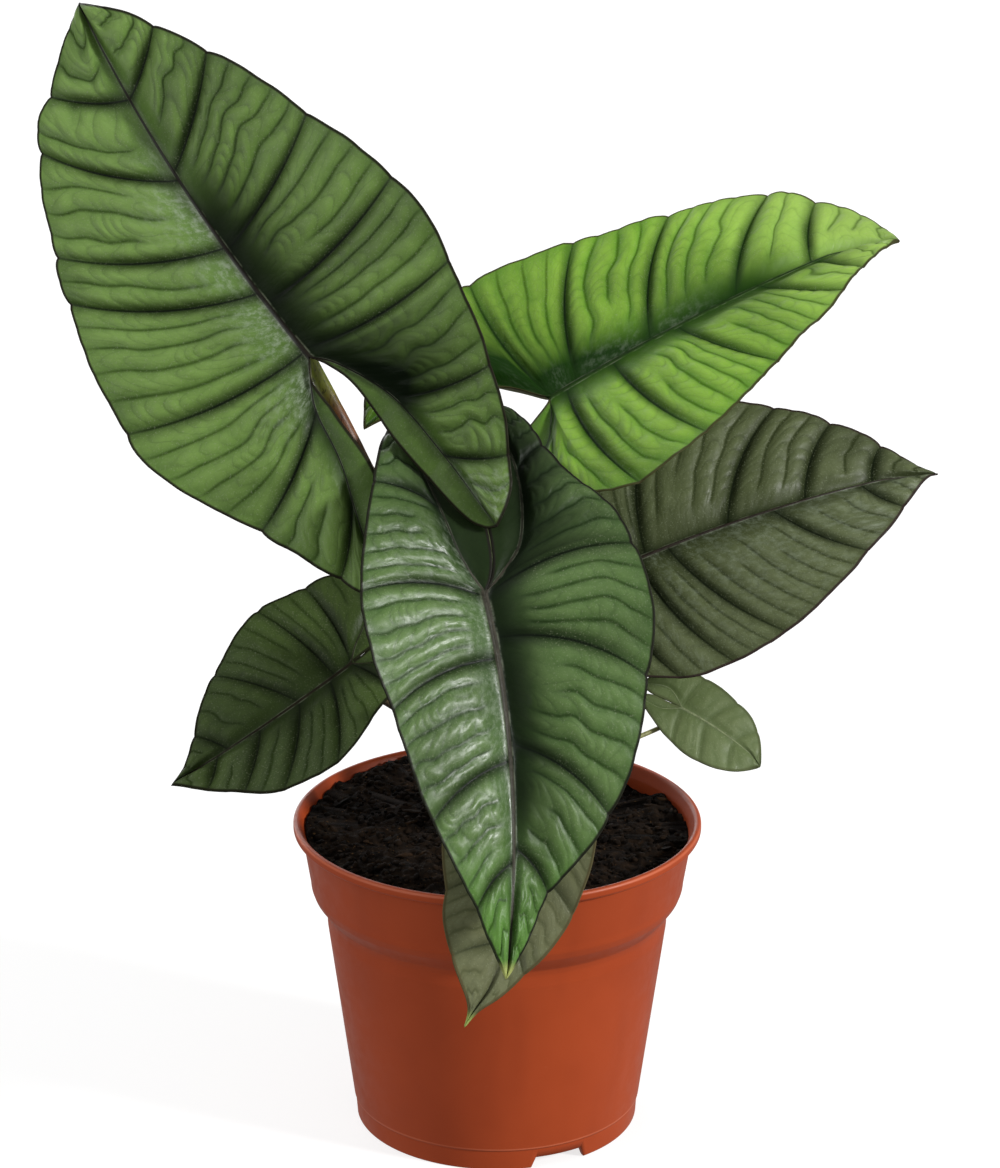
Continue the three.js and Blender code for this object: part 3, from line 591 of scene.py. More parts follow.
def outer_relief(leaf, look, half, rows, across):
    """Heights and distances for the grid of rows between the midrib or rib and the margin."""
    seed = int(leaf["name"][-1]) + (0.5 if half.side == "left" else 0)
    starts, margin_ends, index, between, width, narrow = map(np.array, zip(*rows))
    ends = scalloped(look, half, margin_ends, between, seed)
    index, between, width, narrow = (values[:, None] for values in (index, between, width, narrow))
    across = across[None, :]
    x, y = bowed_rows(starts, ends, look["bow"], across)
    length = np.linalg.norm(ends - starts, axis=1)[:, None]
    tangent = np.gradient(starts, axis=0)
    tangent /= np.maximum(np.linalg.norm(tangent, axis=1, keepdims=True), 1e-9)
    to_rib = np.abs((x - starts[:, :1]) * tangent[:, 1:] - (y - starts[:, 1:]) * tangent[:, :1])
    spacing = narrow * (1 - across) + width * across
    last = len(half.spines) - 2
    to_next = np.where(index == last, between, np.minimum(between, 1 - between))
    to_vein = np.where(index == 0, 1 - between, to_next) * spacing

    # Finer veins: how many there are, the strip that a place lies in, and where it lies inside it
    counts = np.maximum(np.round(np.diff(half.shares) * half.margin_length / look["second"]), 1)
    count, before = counts[index], (np.cumsum(counts) - counts)[index]
    sway = wander(across * 2.6 + 3.7 * index, index * 1.9 + 1.1 * between, seed)
    sway = sway + 0.35 * wander(across * 7 + 2.3 * index, index * 2.9 + 1.1 * between, seed + 1)
    drift = 0.5 * look["sway"] / count * sway * np.sin(math.pi * between) * smoothstep(across, 0, 0.25)
    finer = np.clip(between + drift, 0, 1) * count
    strip = np.minimum(np.floor(finer), count - 1)
    inside = finer - strip
    near_line, far_line = (line_strength(index, strip + n, count, across, seed) for n in (0, 1))
    strength = np.where(inside < 0.5, near_line, far_line)

    # Cross wrinkles: they slant, arch and wander between the finer veins
    path = across * length
    phase = lattice(index * 5.0 + strip, index * 2.0, seed + 3)
    slant = 1.5 * lattice(index * 3.0 + strip, 4.0, seed + 5)
    wrinkle = (path / (look["second"] * CROSS_STEP) + slant * (inside - 0.5) + 3.4 * (inside - 0.5) ** 2
               + 1.3 * wander(path / 11, finer * 0.8, seed + 7) + phase)
    fold = wrinkle - np.floor(wrinkle)
    cushion = (1 - np.abs(2 * fold - 1) ** 1.7) * (0.1 + 0.9 * np.sin(math.pi * inside))
    rise = 0.75 + 0.4 * wander(path / 14, finer * 0.7, seed + 9)

    # Heights
    bulge = np.abs(np.sin(math.pi * between)) ** 0.8
    shape = smoothstep(across, 0, RIB_REACH) * (1 - 0.55 * smoothstep(across, 0.5, 1))
    arch = smoothstep(across, 0.05, 0.3) * (1 - 0.5 * smoothstep(across, 0.86, 1))
    left_side, right_side = np.maximum(1 - 2 * inside, 0), np.maximum(2 * inside - 1, 0)
    hollow = near_line * left_side ** 2.2 + far_line * right_side ** 2.2
    fine = leaf["quilt"] * look["relief"]
    small = fine * STRIP_BULGE * arch * (1 - hollow)
    short = fine * WRINKLE_BULGE * arch * cushion * rise
    pleats = np.exp(-(to_rib / PLEAT_REACH) ** 2) * smoothstep(length, 12, 30) * smoothstep(to_rib, 0.8, 3)
    pleats = PLEAT_HEIGHT * pleats * wander(finer * look["second"] / 1.3, path / 9, seed + 17)
    grain = fine * GRAIN_BULGE * arch * wander(path / 1.9, finer * look["second"] / 1.9, seed + 11)
    grain = grain + pleats
    cord = cord_width(leaf, look, starts[:, :1])
    away = smoothstep(length, 3, 14)
    ridge = cord_height(cord, to_rib) * away
    groove = GROOVE_DEPTH * np.exp(-(to_vein / GROOVE_WIDTH) ** 2) * smoothstep(across, 0.03, 0.12) * away
    from_tip = np.hypot(*(margin_ends - half.margin[0]).T)[:, None]
    wave = MARGIN_WAVE * wander(from_tip / 13, 0.3, seed + 13) * across ** 4
    lift = leaf["quilt"] * bulge * shape + small + short + grain + ridge - groove + wave
    return {"x": x, "y": y, "lift": lift, "to_rib": to_rib, "to_vein": to_vein, "line": before + finer,
            "gap": spacing / count, "strength": strength * arch, "wrinkle": wrinkle, "deep": arch * rise,
            "share": across, "cord": to_rib / cord, "strip": np.zeros(1),
            "to_edge": np.maximum((1 - across) * length * 0.95, 0),
            "puff": (small + short + grain) / (leaf["quilt"] * PUFF_SHARE), "path": path,
            "finer": (finer + index * 4) * look["second"], "length": length}


def strip_relief(leaf, look, half, rows, across):
    """The same for the narrow strip between a lobe's rib and the notch."""
    starts = np.array([row[0] for row in rows])
    ends = np.array([point_at_share(half.sinus, share_at_x(half.rib, x)) for x in starts[:, 0]])
    between = np.array([row[3] for row in rows])[:, None]
    across = across[None, :]
    x, y = (starts[:, k:k + 1] * (1 - across) + ends[:, k:k + 1] * across for k in (0, 1))
    length = np.linalg.norm(ends - starts, axis=1)[:, None]
    bulge = np.abs(np.sin(math.pi * between)) ** 0.8
    to_rib = across * length
    cord = cord_width(leaf, look, starts[:, :1])
    lift = 0.6 * leaf["quilt"] * bulge * smoothstep(0.3 * across, 0, RIB_REACH)
    lift = lift + cord_height(cord, to_rib) * smoothstep(length, 0, 3)
    lift = lift + 0.12 * wander(x / 5, y / 4, int(leaf["name"][-1]) + 21) * across
    zero, half_way, far = np.zeros(1), np.full(1, 0.5), np.full(1, FAR_FROM_VEINS)
    return {"x": x, "y": y, "lift": lift, "to_rib": to_rib, "to_vein": far, "line": half_way,
            "gap": 2 * far, "strength": zero, "wrinkle": half_way, "deep": zero, "share": zero,
            "cord": to_rib / cord, "strip": zero + 1, "to_edge": (1 - across) * length,
            "puff": zero + 0.35, "path": to_rib, "finer": x, "length": far}


def column_shares(reach):
    """Shares of a row: close together at the rib and at the margin, even between."""
    middle = np.linspace(0.03, 0.965, max(6, int(reach / CELL)))
    near = np.array([0, 0.35, 0.7, 1.05]) / reach
    rim = 1 - np.array([0.9, 0.55, 0.25, 0]) / reach
    return np.concatenate([near[near < 0.028], middle, rim[rim > 0.967]])


def spine_places(stations, start, stop, step):
    """The places of the veins, with even steps between neighbours."""
    places = sorted({start, stop, *[s for s in stations if stop < s < start]}, reverse=True)
    kept = [start]
    for place in places[1:]:
        if kept[-1] - place < 0.3 * step and place != stop:
            continue
        count = max(1, round((kept[-1] - place) / step))
        kept += list(np.linspace(kept[-1], place, count + 1)[1:])
    return kept


def new_mesh(name, points, faces, smooth=True):
    """A mesh of points in millimetres from the pot's axis."""
    mesh = bpy.data.meshes.new(name)
    mesh.from_pydata((points * MM + AXIS).tolist(), [], faces)
    mesh.polygons.foreach_set("use_smooth", [smooth] * len(mesh.polygons))
    return mesh


class Sheet:
    """Points and faces of a blade's upper surface, gathered grid by grid and joined where they meet."""

    KEYS = ("x", "y", "lift", "to_rib", "to_vein", "line", "gap", "strength", "wrinkle", "deep", "share",
            "cord", "strip", "to_edge", "puff", "path", "finer", "length")

    def __init__(self):
        self.columns = {key: [] for key in self.KEYS}
        self.side = []
        self.faces = []
        self.count = 0

    def add(self, grid, sign, flip):
        rows, cols = grid["x"].shape
        for key in self.KEYS:
            self.columns[key].append(np.broadcast_to(grid[key], (rows, cols)).ravel())
        self.side.append(np.full(rows * cols, float(sign)))
        place = self.count + np.arange(rows * cols).reshape(rows, cols)
        quads = np.stack([place[:-1, :-1], place[1:, :-1], place[1:, 1:], place[:-1, 1:]], -1)
        quads = quads.reshape(-1, 4)
        self.faces.append(quads[:, ::-1] if flip else quads)
        self.count += rows * cols

    def joined(self):
        """Merged points with their values, and rows of four corners. A triangle repeats a corner."""
        values = {key: np.concatenate(self.columns[key]) for key in self.KEYS}
        side = np.concatenate(self.side)
        key = np.round(np.stack([values["x"], values["y"]], 1), 3)
        _, first, inverse = np.unique(key, axis=0, return_index=True, return_inverse=True)
        inverse = inverse.ravel()
        faces = inverse[np.concatenate(self.faces)]
        merged = {name: array[first] for name, array in values.items()}
        merged["side"] = np.where(np.abs(merged["y"]) < 1e-6, 0, side[first])
        return merged, faces


def clean_faces(faces):
    """Quads and triangles without repeated corners."""
    kept = []
    for face in faces.tolist():
        corners = [c for n, c in enumerate(face) if c != face[n - 1]]
        if len(set(corners)) == len(corners) and len(corners) >= 3:
            kept.append(corners)
    return kept


def open_edges(faces):
    """Edges that have a face on one side only, in the direction of that face."""
    seen = {}
    for face in faces:
        for n, corner in enumerate(face):
            start = face[n - 1]
            if seen.pop((corner, start), None) is None:
                seen[(start, corner)] = True
    return list(seen)


def blade_sheet(leaf, look):
    """The upper surface of a blade: its points with their values, and its faces."""
    halves = {side: Half(leaf, side) for side in ("left", "right")}
    stations = [s for half in halves.values() for s in half.spines]
    ahead = spine_places(stations, leaf["tip"][0], 0, CELL)
    reach = max(np.abs(half.margin[:, 1]).max() for half in halves.values())
    across = column_shares(reach)
    sheet = Sheet()
    for side, half in halves.items():
        behind = spine_places(half.spines, 0, half.lobe_x, CELL)
        outer = [half.row(spine) for spine in [*ahead, *behind[1:]]]
        sheet.add(outer_relief(leaf, look, half, outer, across), half.sign, side == "left")
        strip = [half.row(spine) for spine in behind]
        breadth = np.abs(half.sinus[:, 1] - half.rib[:, 1]).max()
        steps = np.linspace(0, 1, max(4, int(breadth / CELL) + 1))
        sheet.add(strip_relief(leaf, look, half, strip, steps), half.sign, side != "left")
    values, faces = sheet.joined()
    return values, clean_faces(faces)


def blade_thickness(leaf, values):
    """The blade is thicker along the midrib and the main veins, which stand out below."""
    tip = leaf["tip"][0]
    fade = smoothstep(tip - values["x"], 0, tip)
    under_rib = MIDRIB_THICKNESS * np.exp(-(values["to_rib"] / 1.5) ** 2) * (0.25 + 0.75 * fade)
    under_vein = VEIN_THICKNESS * np.exp(-(values["to_vein"] / 0.8) ** 2)
    under_vein = under_vein * smoothstep(values["length"], 3, 14)
    return BLADE_THICKNESS + (under_rib + under_vein) * smoothstep(values["to_edge"], 0, 3)


def rim_outward(rim, x, y):
    """The points of a rim of directed edges, and the direction away from the blade at each of them."""
    outward = np.zeros((len(x), 2))
    for start, end in rim:
        edge = np.array([x[end] - x[start], y[end] - y[start]])
        normal = np.array([edge[1], -edge[0]]) / max(np.linalg.norm(edge), 1e-9)
        outward[start] += normal
        outward[end] += normal
    points = sorted({start for start, _ in rim})
    normals = outward[points]
    return points, normals / np.maximum(np.linalg.norm(normals, axis=1, keepdims=True), 1e-9)


def patches(kind, values):
    """How strong the patches of one kind beside the midrib and the ribs are at each point."""
    x = values["x"]
    total = np.zeros(len(x))
    for side, low, high, breadth, strength in kind:
        other_side = -1 if side == "left" else 1
        along = smoothstep(x, low - 12, low + 8) * (1 - smoothstep(x, high - 15, high + 15))
        beside = np.exp(-(values["to_rib"] / breadth) ** 2) * (values["side"] != other_side)
        total += strength * along * beside
    return total


# The values that the shaders read at each point
ATTRIBUTES = ("to_rib", "to_vein", "line", "gap", "strength", "wrinkle", "deep", "share", "cord", "tip",
              "along", "to_edge", "puff", "pigment_and_painted_shade", "silver_and_painted_sheen")


def blade_mesh(leaf):
    look = look_of(leaf)
    values, faces = blade_sheet(leaf, look)
    x, y = values["x"], values["y"]
    knob_reach = 1.6 * look["cord"] + 0.4
    lift = values["lift"] + 0.6 * look["cord"] * np.exp(-(np.hypot(x + 0.8, y) / knob_reach) ** 2)
    top = blade_points(leaf, x, y, lift)
    bottom = blade_points(leaf, x, y, lift - blade_thickness(leaf, values))

    count = len(x)
    rim = open_edges(faces)
    rim_points, normals = rim_outward(rim, x, y)
    bulged = RIM_BULGE * BLADE_THICKNESS * normals
    middle = blade_points(leaf, x[rim_points] + bulged[:, 0], y[rim_points] + bulged[:, 1],
                          lift[rim_points] - BLADE_THICKNESS / 2)
    place = {corner: 2 * count + n for n, corner in enumerate(rim_points)}
    walls = []
    for start, end in rim:
        walls.append([start, place[start], place[end], end])
        walls.append([place[start], count + start, count + end, place[end]])
    under = [[count + corner for corner in face[::-1]] for face in faces]
    mesh = new_mesh(leaf["name"], np.vstack([top, bottom, middle]), faces + walls + under)
    below = [0] * (len(faces) + len(walls)) + [1] * len(under)
    mesh.polygons.foreach_set("material_index", below)

    strip = values["strip"]
    values["tip"] = np.hypot(x - leaf["tip"][0], y - leaf["tip"][1])
    values["along"] = x
    # Dark patches beside the midrib, partly pigment and partly painted shade, and painted shade on the strip
    # by the notch
    values["pigment_and_painted_shade"] = np.maximum(patches(look["pigment_and_painted_shade"], values) * (1 - strip), look["strip"] * strip)
    # Silvery colour with a painted sheen on it, kept mostly off the veins
    off_veins = 0.2 + 0.8 * smoothstep(values["to_vein"], 1.5, 5.5)
    values["silver_and_painted_sheen"] = patches(look["silver_and_painted_sheen"], values) * off_veins * (1 - strip)
    for name in ATTRIBUTES:
        layer = mesh.attributes.new(name, "FLOAT", "POINT")
        array = np.concatenate([values[name], values[name], values[name][rim_points]])
        layer.data.foreach_set("value", array.astype(np.float32))
    grain = mesh.attributes.new("grain", "FLOAT_VECTOR", "POINT")
    flat = np.stack([values["finer"], values["path"], values["side"] * 50], 1)
    flat = np.vstack([flat, flat, flat[rim_points]])
    grain.data.foreach_set("vector", flat.astype(np.float32).ravel())
    return mesh


# Material nodes

def linear(red, green, blue):
    """A colour given as it looks on a screen, from 0 to 255, in the renderer's linear values."""
    shares = [channel / 255 for channel in (red, green, blue)]
    return tuple(s / 12.92 if s <= 0.04045 else ((s + 0.055) / 1.055) ** 2.4 for s in shares) + (1.0,)


class Shade:
    """A material with its nodes, added one by one. An input i0 or i1 is given by its number."""

    def __init__(self, name, roughness, specular=0.5):
        self.material = bpy.data.materials.new(name)
        self.material.use_nodes = True
        self.tree = self.material.node_tree
        self.shader = self.tree.nodes["Principled BSDF"]
        self.shader.inputs["Roughness"].default_value = roughness
        self.shader.inputs["Specular IOR Level"].default_value = specular

    def node(self, kind, settings=None, **inputs):
        node = self.tree.nodes.new(kind)
        for key, value in (settings or {}).items():
            setattr(node, key, value)
        for key, value in inputs.items():
            numbered = key[0] == "i" and key[1:].isdigit()
            self.feed(node.inputs[int(key[1:]) if numbered else key.replace("_", " ")], value)
        return node

    def feed(self, socket, value):
        if isinstance(value, bpy.types.NodeSocket):
            self.tree.links.new(value, socket)
        else:
            socket.default_value = value

    def attribute(self, name, output="Fac"):
        return self.node("ShaderNodeAttribute", {"attribute_name": name}).outputs[output]

    def math(self, operation, a, b=0.0, clamp=False):
        settings = {"operation": operation, "use_clamp": clamp}
        return self.node("ShaderNodeMath", settings, i0=a, i1=b).outputs[0]

    def vector(self, operation, a, output="Vector", **inputs):
        return self.node("ShaderNodeVectorMath", {"operation": operation}, i0=a, **inputs).outputs[output]

    def ease(self, value, low, high, start=0.0, end=1.0):
        """A smooth step of a value from start at low to end at high."""
        node = self.node("ShaderNodeMapRange", {"interpolation_type": "SMOOTHSTEP"}, Value=value,
                         From_Min=low, From_Max=high, To_Min=start, To_Max=end)
        return node.outputs["Result"]

    def near(self, name, full, none, strength):
        """A mask from an attribute: its strength up to a distance, and nothing from a further one."""
        return self.ease(self.attribute(name), full, none, strength, 0)

    def nearest_line(self, count, gap):
        """Distance to the nearest of lines that lie at whole numbers of a count, a gap apart."""
        inside = self.math("FRACT", count)
        share = self.math("MINIMUM", inside, self.math("SUBTRACT", 1.0, inside))
        return self.math("MULTIPLY", share, gap)

    def noise(self, vector, scale, detail=3.0, rough=0.55):
        node = self.node("ShaderNodeTexNoise", Vector=vector, Scale=scale, Detail=detail, Roughness=rough)
        return node.outputs["Fac"]

    def cells(self, vector, scale, feature="DISTANCE_TO_EDGE"):
        node = self.node("ShaderNodeTexVoronoi", {"feature": feature}, Vector=vector, Scale=scale)
        return node.outputs["Distance"]

    def stretch(self, vector, x, y, z):
        return self.node("ShaderNodeMapping", Vector=vector, Scale=(x, y, z)).outputs["Vector"]

    def warp(self, vector, scale, amount):
        """A vector moved about by coloured noise."""
        wobble = self.node("ShaderNodeTexNoise", Vector=vector, Scale=scale, Detail=2.0).outputs["Color"]
        return self.vector("MULTIPLY_ADD", wobble, i1=(amount, amount, amount), i2=vector)

    def place(self):
        return self.node("ShaderNodeTexCoord").outputs["Object"]

    def mix(self, factor, a, b):
        node = self.node("ShaderNodeMix", {"data_type": "RGBA"})
        self.feed(node.inputs[0], factor)
        self.feed(node.inputs[6], a)
        self.feed(node.inputs[7], b)
        return node.outputs[2]

    def between(self, value, low, high, first, second):
        """From a first to a second screen colour as a value rises."""
        return self.mix(self.ease(value, low, high), linear(*first), linear(*second))

    def tint(self, colour, value, low, high, strength, paint):
        """A colour with some of a screen colour mixed in where a value is high."""
        return self.mix(self.ease(value, low, high, 0, strength), colour, linear(*paint))

    def bump(self, height, strength, distance, normal=None):
        node = self.node("ShaderNodeBump", Height=height, Strength=strength, Distance=distance)
        if normal is not None:
            self.feed(node.inputs["Normal"], normal)
        return node.outputs["Normal"]

    def finish(self, colour, roughness=None, normal=None):
        self.feed(self.shader.inputs["Base Color"], colour)
        if roughness is not None:
            self.feed(self.shader.inputs["Roughness"], roughness)
        if normal is not None:
            self.feed(self.shader.inputs["Normal"], normal)
        return self.material


SILVER_AND_PAINTED_SHEEN = (150, 162, 142)
PAINTED_GLINTS = (140, 148, 120)
CORD_PAINTED_HIGHLIGHT = (120, 126, 106)
UNDERSIDE = (158, 170, 144)
UNDER_VEIN = (112, 112, 84)
UNDER_RIB = (108, 104, 74)
NET_SIZE = 0.42
NET_STRETCH = (1, 0.62, 1)


def vein_masks(shade, look, outer):
    """Darkening near main veins, the midrib, finer veins and cross wrinkles, partly their colour, partly
    painted shade.
    """
    depth = look["veins"]
    near_vein = shade.math("MULTIPLY", shade.near("to_vein", 0, 4.6, 0.8 * depth), outer)
    near_rib = shade.near("to_rib", 0, 2.6, 0.45 * depth)
    second = shade.nearest_line(shade.attribute("line"), shade.attribute("gap"))
    near_second = shade.ease(second, 0.0, 0.9, 0.52 * depth, 0)
    near_second = shade.math("MULTIPLY", near_second, shade.attribute("strength"))
    cross = shade.nearest_line(shade.attribute("wrinkle"), look["second"] * CROSS_STEP)
    near_cross = shade.ease(cross, 0.0, 0.8, 0.2 * depth, 0)
    near_cross = shade.math("MULTIPLY", near_cross, shade.attribute("deep"))
    near_cross = shade.math("MULTIPLY", near_cross, shade.ease(second, 0.5, 1.4))
    return near_vein, near_rib, near_second, near_cross


def blade_material(leaf):
    look = look_of(leaf)
    shade = Shade(leaf["name"] + "_upper", 0.4, 0.3)
    place = shade.place()
    grain = shade.attribute("grain", "Vector")
    dark = linear(*look["dark"])
    pigment_and_painted_shade = shade.attribute("pigment_and_painted_shade")
    silver_and_painted_sheen = shade.attribute("silver_and_painted_sheen")
    outer = shade.ease(shade.attribute("share"), 0.45, 1.0, 1.0, 0.45)

    # Greens, darker in random patches and in the patches of painted shade beside the midrib, and darker
    # towards every vein: partly the veins' colour, partly painted shade in their hollows
    mottle = shade.math("MULTIPLY", shade.noise(place, 110, 4, 0.6), 0.5)
    tone = shade.math("ADD", shade.math("MULTIPLY", shade.attribute("puff"), 0.6), mottle)
    colour = shade.between(tone, 0.2, 0.95, look["mid"], look["light"])
    if "fresh" in look:
        colour = shade.tint(colour, shade.attribute("along"), *look["fresh"], look["young"])
    colour = shade.tint(colour, shade.noise(place, 28, 2), 0.45, 0.75, 0.35, look["dark"])
    near_vein, near_rib, near_second, near_cross = vein_masks(shade, look, outer)
    for mask in (near_cross, near_second, near_vein, near_rib, pigment_and_painted_shade):
        colour = shade.mix(mask, colour, dark)

    # A fine net, pale specks of painted glint, and silvery colour with a painted sheen on it
    net = shade.cells(shade.stretch(shade.warp(grain, 0.35, 1.6), *NET_STRETCH), NET_SIZE)
    colour = shade.mix(shade.ease(net, 0.0, 0.12, 0.07, 0), colour, dark)
    # Pale specks are painted glints, kept out of the painted shade
    specks = shade.ease(shade.noise(place, 2100, 2), 0.56, 0.74, 0, 0.3)
    specks = shade.math("MULTIPLY", specks, shade.ease(pigment_and_painted_shade, 0.1, 0.7, 1, 0))
    colour = shade.mix(specks, colour, linear(*PAINTED_GLINTS))
    # Silvery patches: silvery colour in streaks, with a painted sheen on it
    streaks = shade.noise(shade.stretch(grain, 0.34, 0.42, 1), 1.0, 5, 0.7)
    painted_sheen_mask = shade.math("MULTIPLY", silver_and_painted_sheen, shade.ease(streaks, 0.42, 0.68), True)
    colour = shade.mix(painted_sheen_mask, colour, linear(*SILVER_AND_PAINTED_SHEEN))

    # Vein cores, the midrib's cord with a painted highlight line beside it, the margin and the tip
    core = shade.math("MULTIPLY", shade.near("to_vein", 0.1, 0.5, 0.8 * look["veins"]), outer)
    colour = shade.mix(core, colour, [0.8 * channel for channel in dark[:3]] + [1.0])
    cord = shade.attribute("cord")
    # A painted highlight along each side of the midrib's cord
    bright = shade.math("MULTIPLY", shade.ease(cord, 0.85, 1.15), shade.ease(cord, 1.3, 2.0, 1, 0))
    bright = shade.math("MULTIPLY", bright, shade.ease(shade.noise(place, 260, 3), 0.4, 0.65, 0, 0.35))
    colour = shade.mix(bright, colour, linear(*CORD_PAINTED_HIGHLIGHT))
    deeper = [0.8 * c for c in look["spine"]]
    spine = shade.between(shade.noise(place, 500, 3), 0.3, 0.7, deeper, look["spine"])
    spine = shade.mix(shade.near("along", -14, -3, 0.6), spine, dark)
    colour = shade.mix(shade.ease(cord, 0.75, 1.25, 0.95, 0), colour, spine)
    edge = shade.near("to_edge", 0.3, 0.9, 0.95)
    colour = shade.mix(edge, colour, linear(*look["margin"]))
    if "pale_tip" in look:
        colour = shade.mix(shade.near("tip", 1.5, 6, 0.95), colour, linear(*look["pale_tip"]))

    # Gloss: the skin is matt in hollows and along veins, and glossy where it is silvery
    rough = shade.ease(shade.noise(place, 220, 3), 0.3, 0.7, 0.36, 0.52)
    rough = shade.math("SUBTRACT", rough, shade.math("MULTIPLY", silver_and_painted_sheen, 0.16))
    matt = shade.math("MAXIMUM", shade.math("MAXIMUM", pigment_and_painted_shade, near_vein), edge)
    matt = shade.math("MAXIMUM", matt, shade.math("MULTIPLY", near_second, 1.9), True)
    gloss = shade.math("SUBTRACT", look["gloss"], shade.math("MULTIPLY", matt, 0.2), True)
    gloss = shade.math("ADD", gloss, shade.math("MULTIPLY", silver_and_painted_sheen, 0.35), True)
    shade.feed(shade.shader.inputs["Specular IOR Level"], gloss)
    fine = shade.math("MULTIPLY", shade.noise(place, 900, 2), 0.5)
    skin = shade.math("ADD", fine, shade.ease(net, 0, 0.3, 0, 0.4))
    return shade.finish(colour, rough, shade.bump(skin, 0.35, 0.00022))


def underside_material(leaf):
    look = look_of(leaf)
    shade = Shade(leaf["name"] + "_under", 0.55, 0.35)
    pale = [0.45 * a + 0.55 * b for a, b in zip(look["light"], UNDERSIDE)]
    mottle = shade.noise(shade.place(), 140, 4)
    colour = shade.between(mottle, 0.3, 0.7, [0.86 * c for c in pale], pale)
    net = shade.cells(shade.stretch(shade.attribute("grain", "Vector"), *NET_STRETCH), NET_SIZE)
    colour = shade.mix(shade.ease(net, 0, 0.1, 0.35, 0), colour, linear(*[0.6 * c for c in pale]))
    colour = shade.mix(shade.near("to_vein", 0.5, 1.1, 0.7), colour, linear(*UNDER_VEIN))
    colour = shade.mix(shade.near("to_rib", 1.4, 2.4, 0.85), colour, linear(*UNDER_RIB))
    colour = shade.mix(shade.near("to_edge", 0.3, 0.9, 0.9), colour, linear(*look["margin"]))
    normal = shade.bump(shade.math("ADD", mottle, shade.ease(net, 0, 0.2, 0.6, 0)), 0.3, 0.0003)
    return shade.finish(colour, None, normal)


# Putting a piece into the scene

def add_piece(name, mesh, materials, nodes):
    piece = bpy.data.objects.new(name, mesh)
    bpy.context.scene.collection.objects.link(piece)
    for material in materials:
        mesh.materials.append(material)
    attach(piece, "root")
    if nodes:
        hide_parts(*nodes)
    return piece


def add_blades():
    for leaf in LEAVES:
        mesh = blade_mesh(leaf)
        node = leaf["name"] + "_blade"
        materials = [blade_material(leaf), underside_material(leaf)]
        add_piece(node + "_skin", mesh, materials, [node])


# Petioles: round stalks with a sheath that clasps the crown at the foot

def bezier(points, share):
    a, b, c, d = points
    t = share[:, None]
    return (1 - t) ** 3 * a + 3 * (1 - t) ** 2 * t * b + 3 * (1 - t) * t ** 2 * c + t ** 3 * d


# sink is how deep the foot stands in the crown, and end depth how far below the blade the stalk ends.
# From there a tail bends along under the midrib and narrows.
PETIOLE_SIDES = 28
PETIOLE_RINGS = 110
PETIOLE_SINK = 1.2
PETIOLE_END_DEPTH = 2.4
PETIOLE_TAIL = 8
PETIOLE_TAIL_DEPTH = 1.6
PETIOLE_TAIL_RINGS = 12
PETIOLE_TAIL_RADIUS = 0.4


def under_midrib(leaf, x, depth):
    return blade_points(leaf, np.array([x]), np.array([0.0]), -depth)[0]


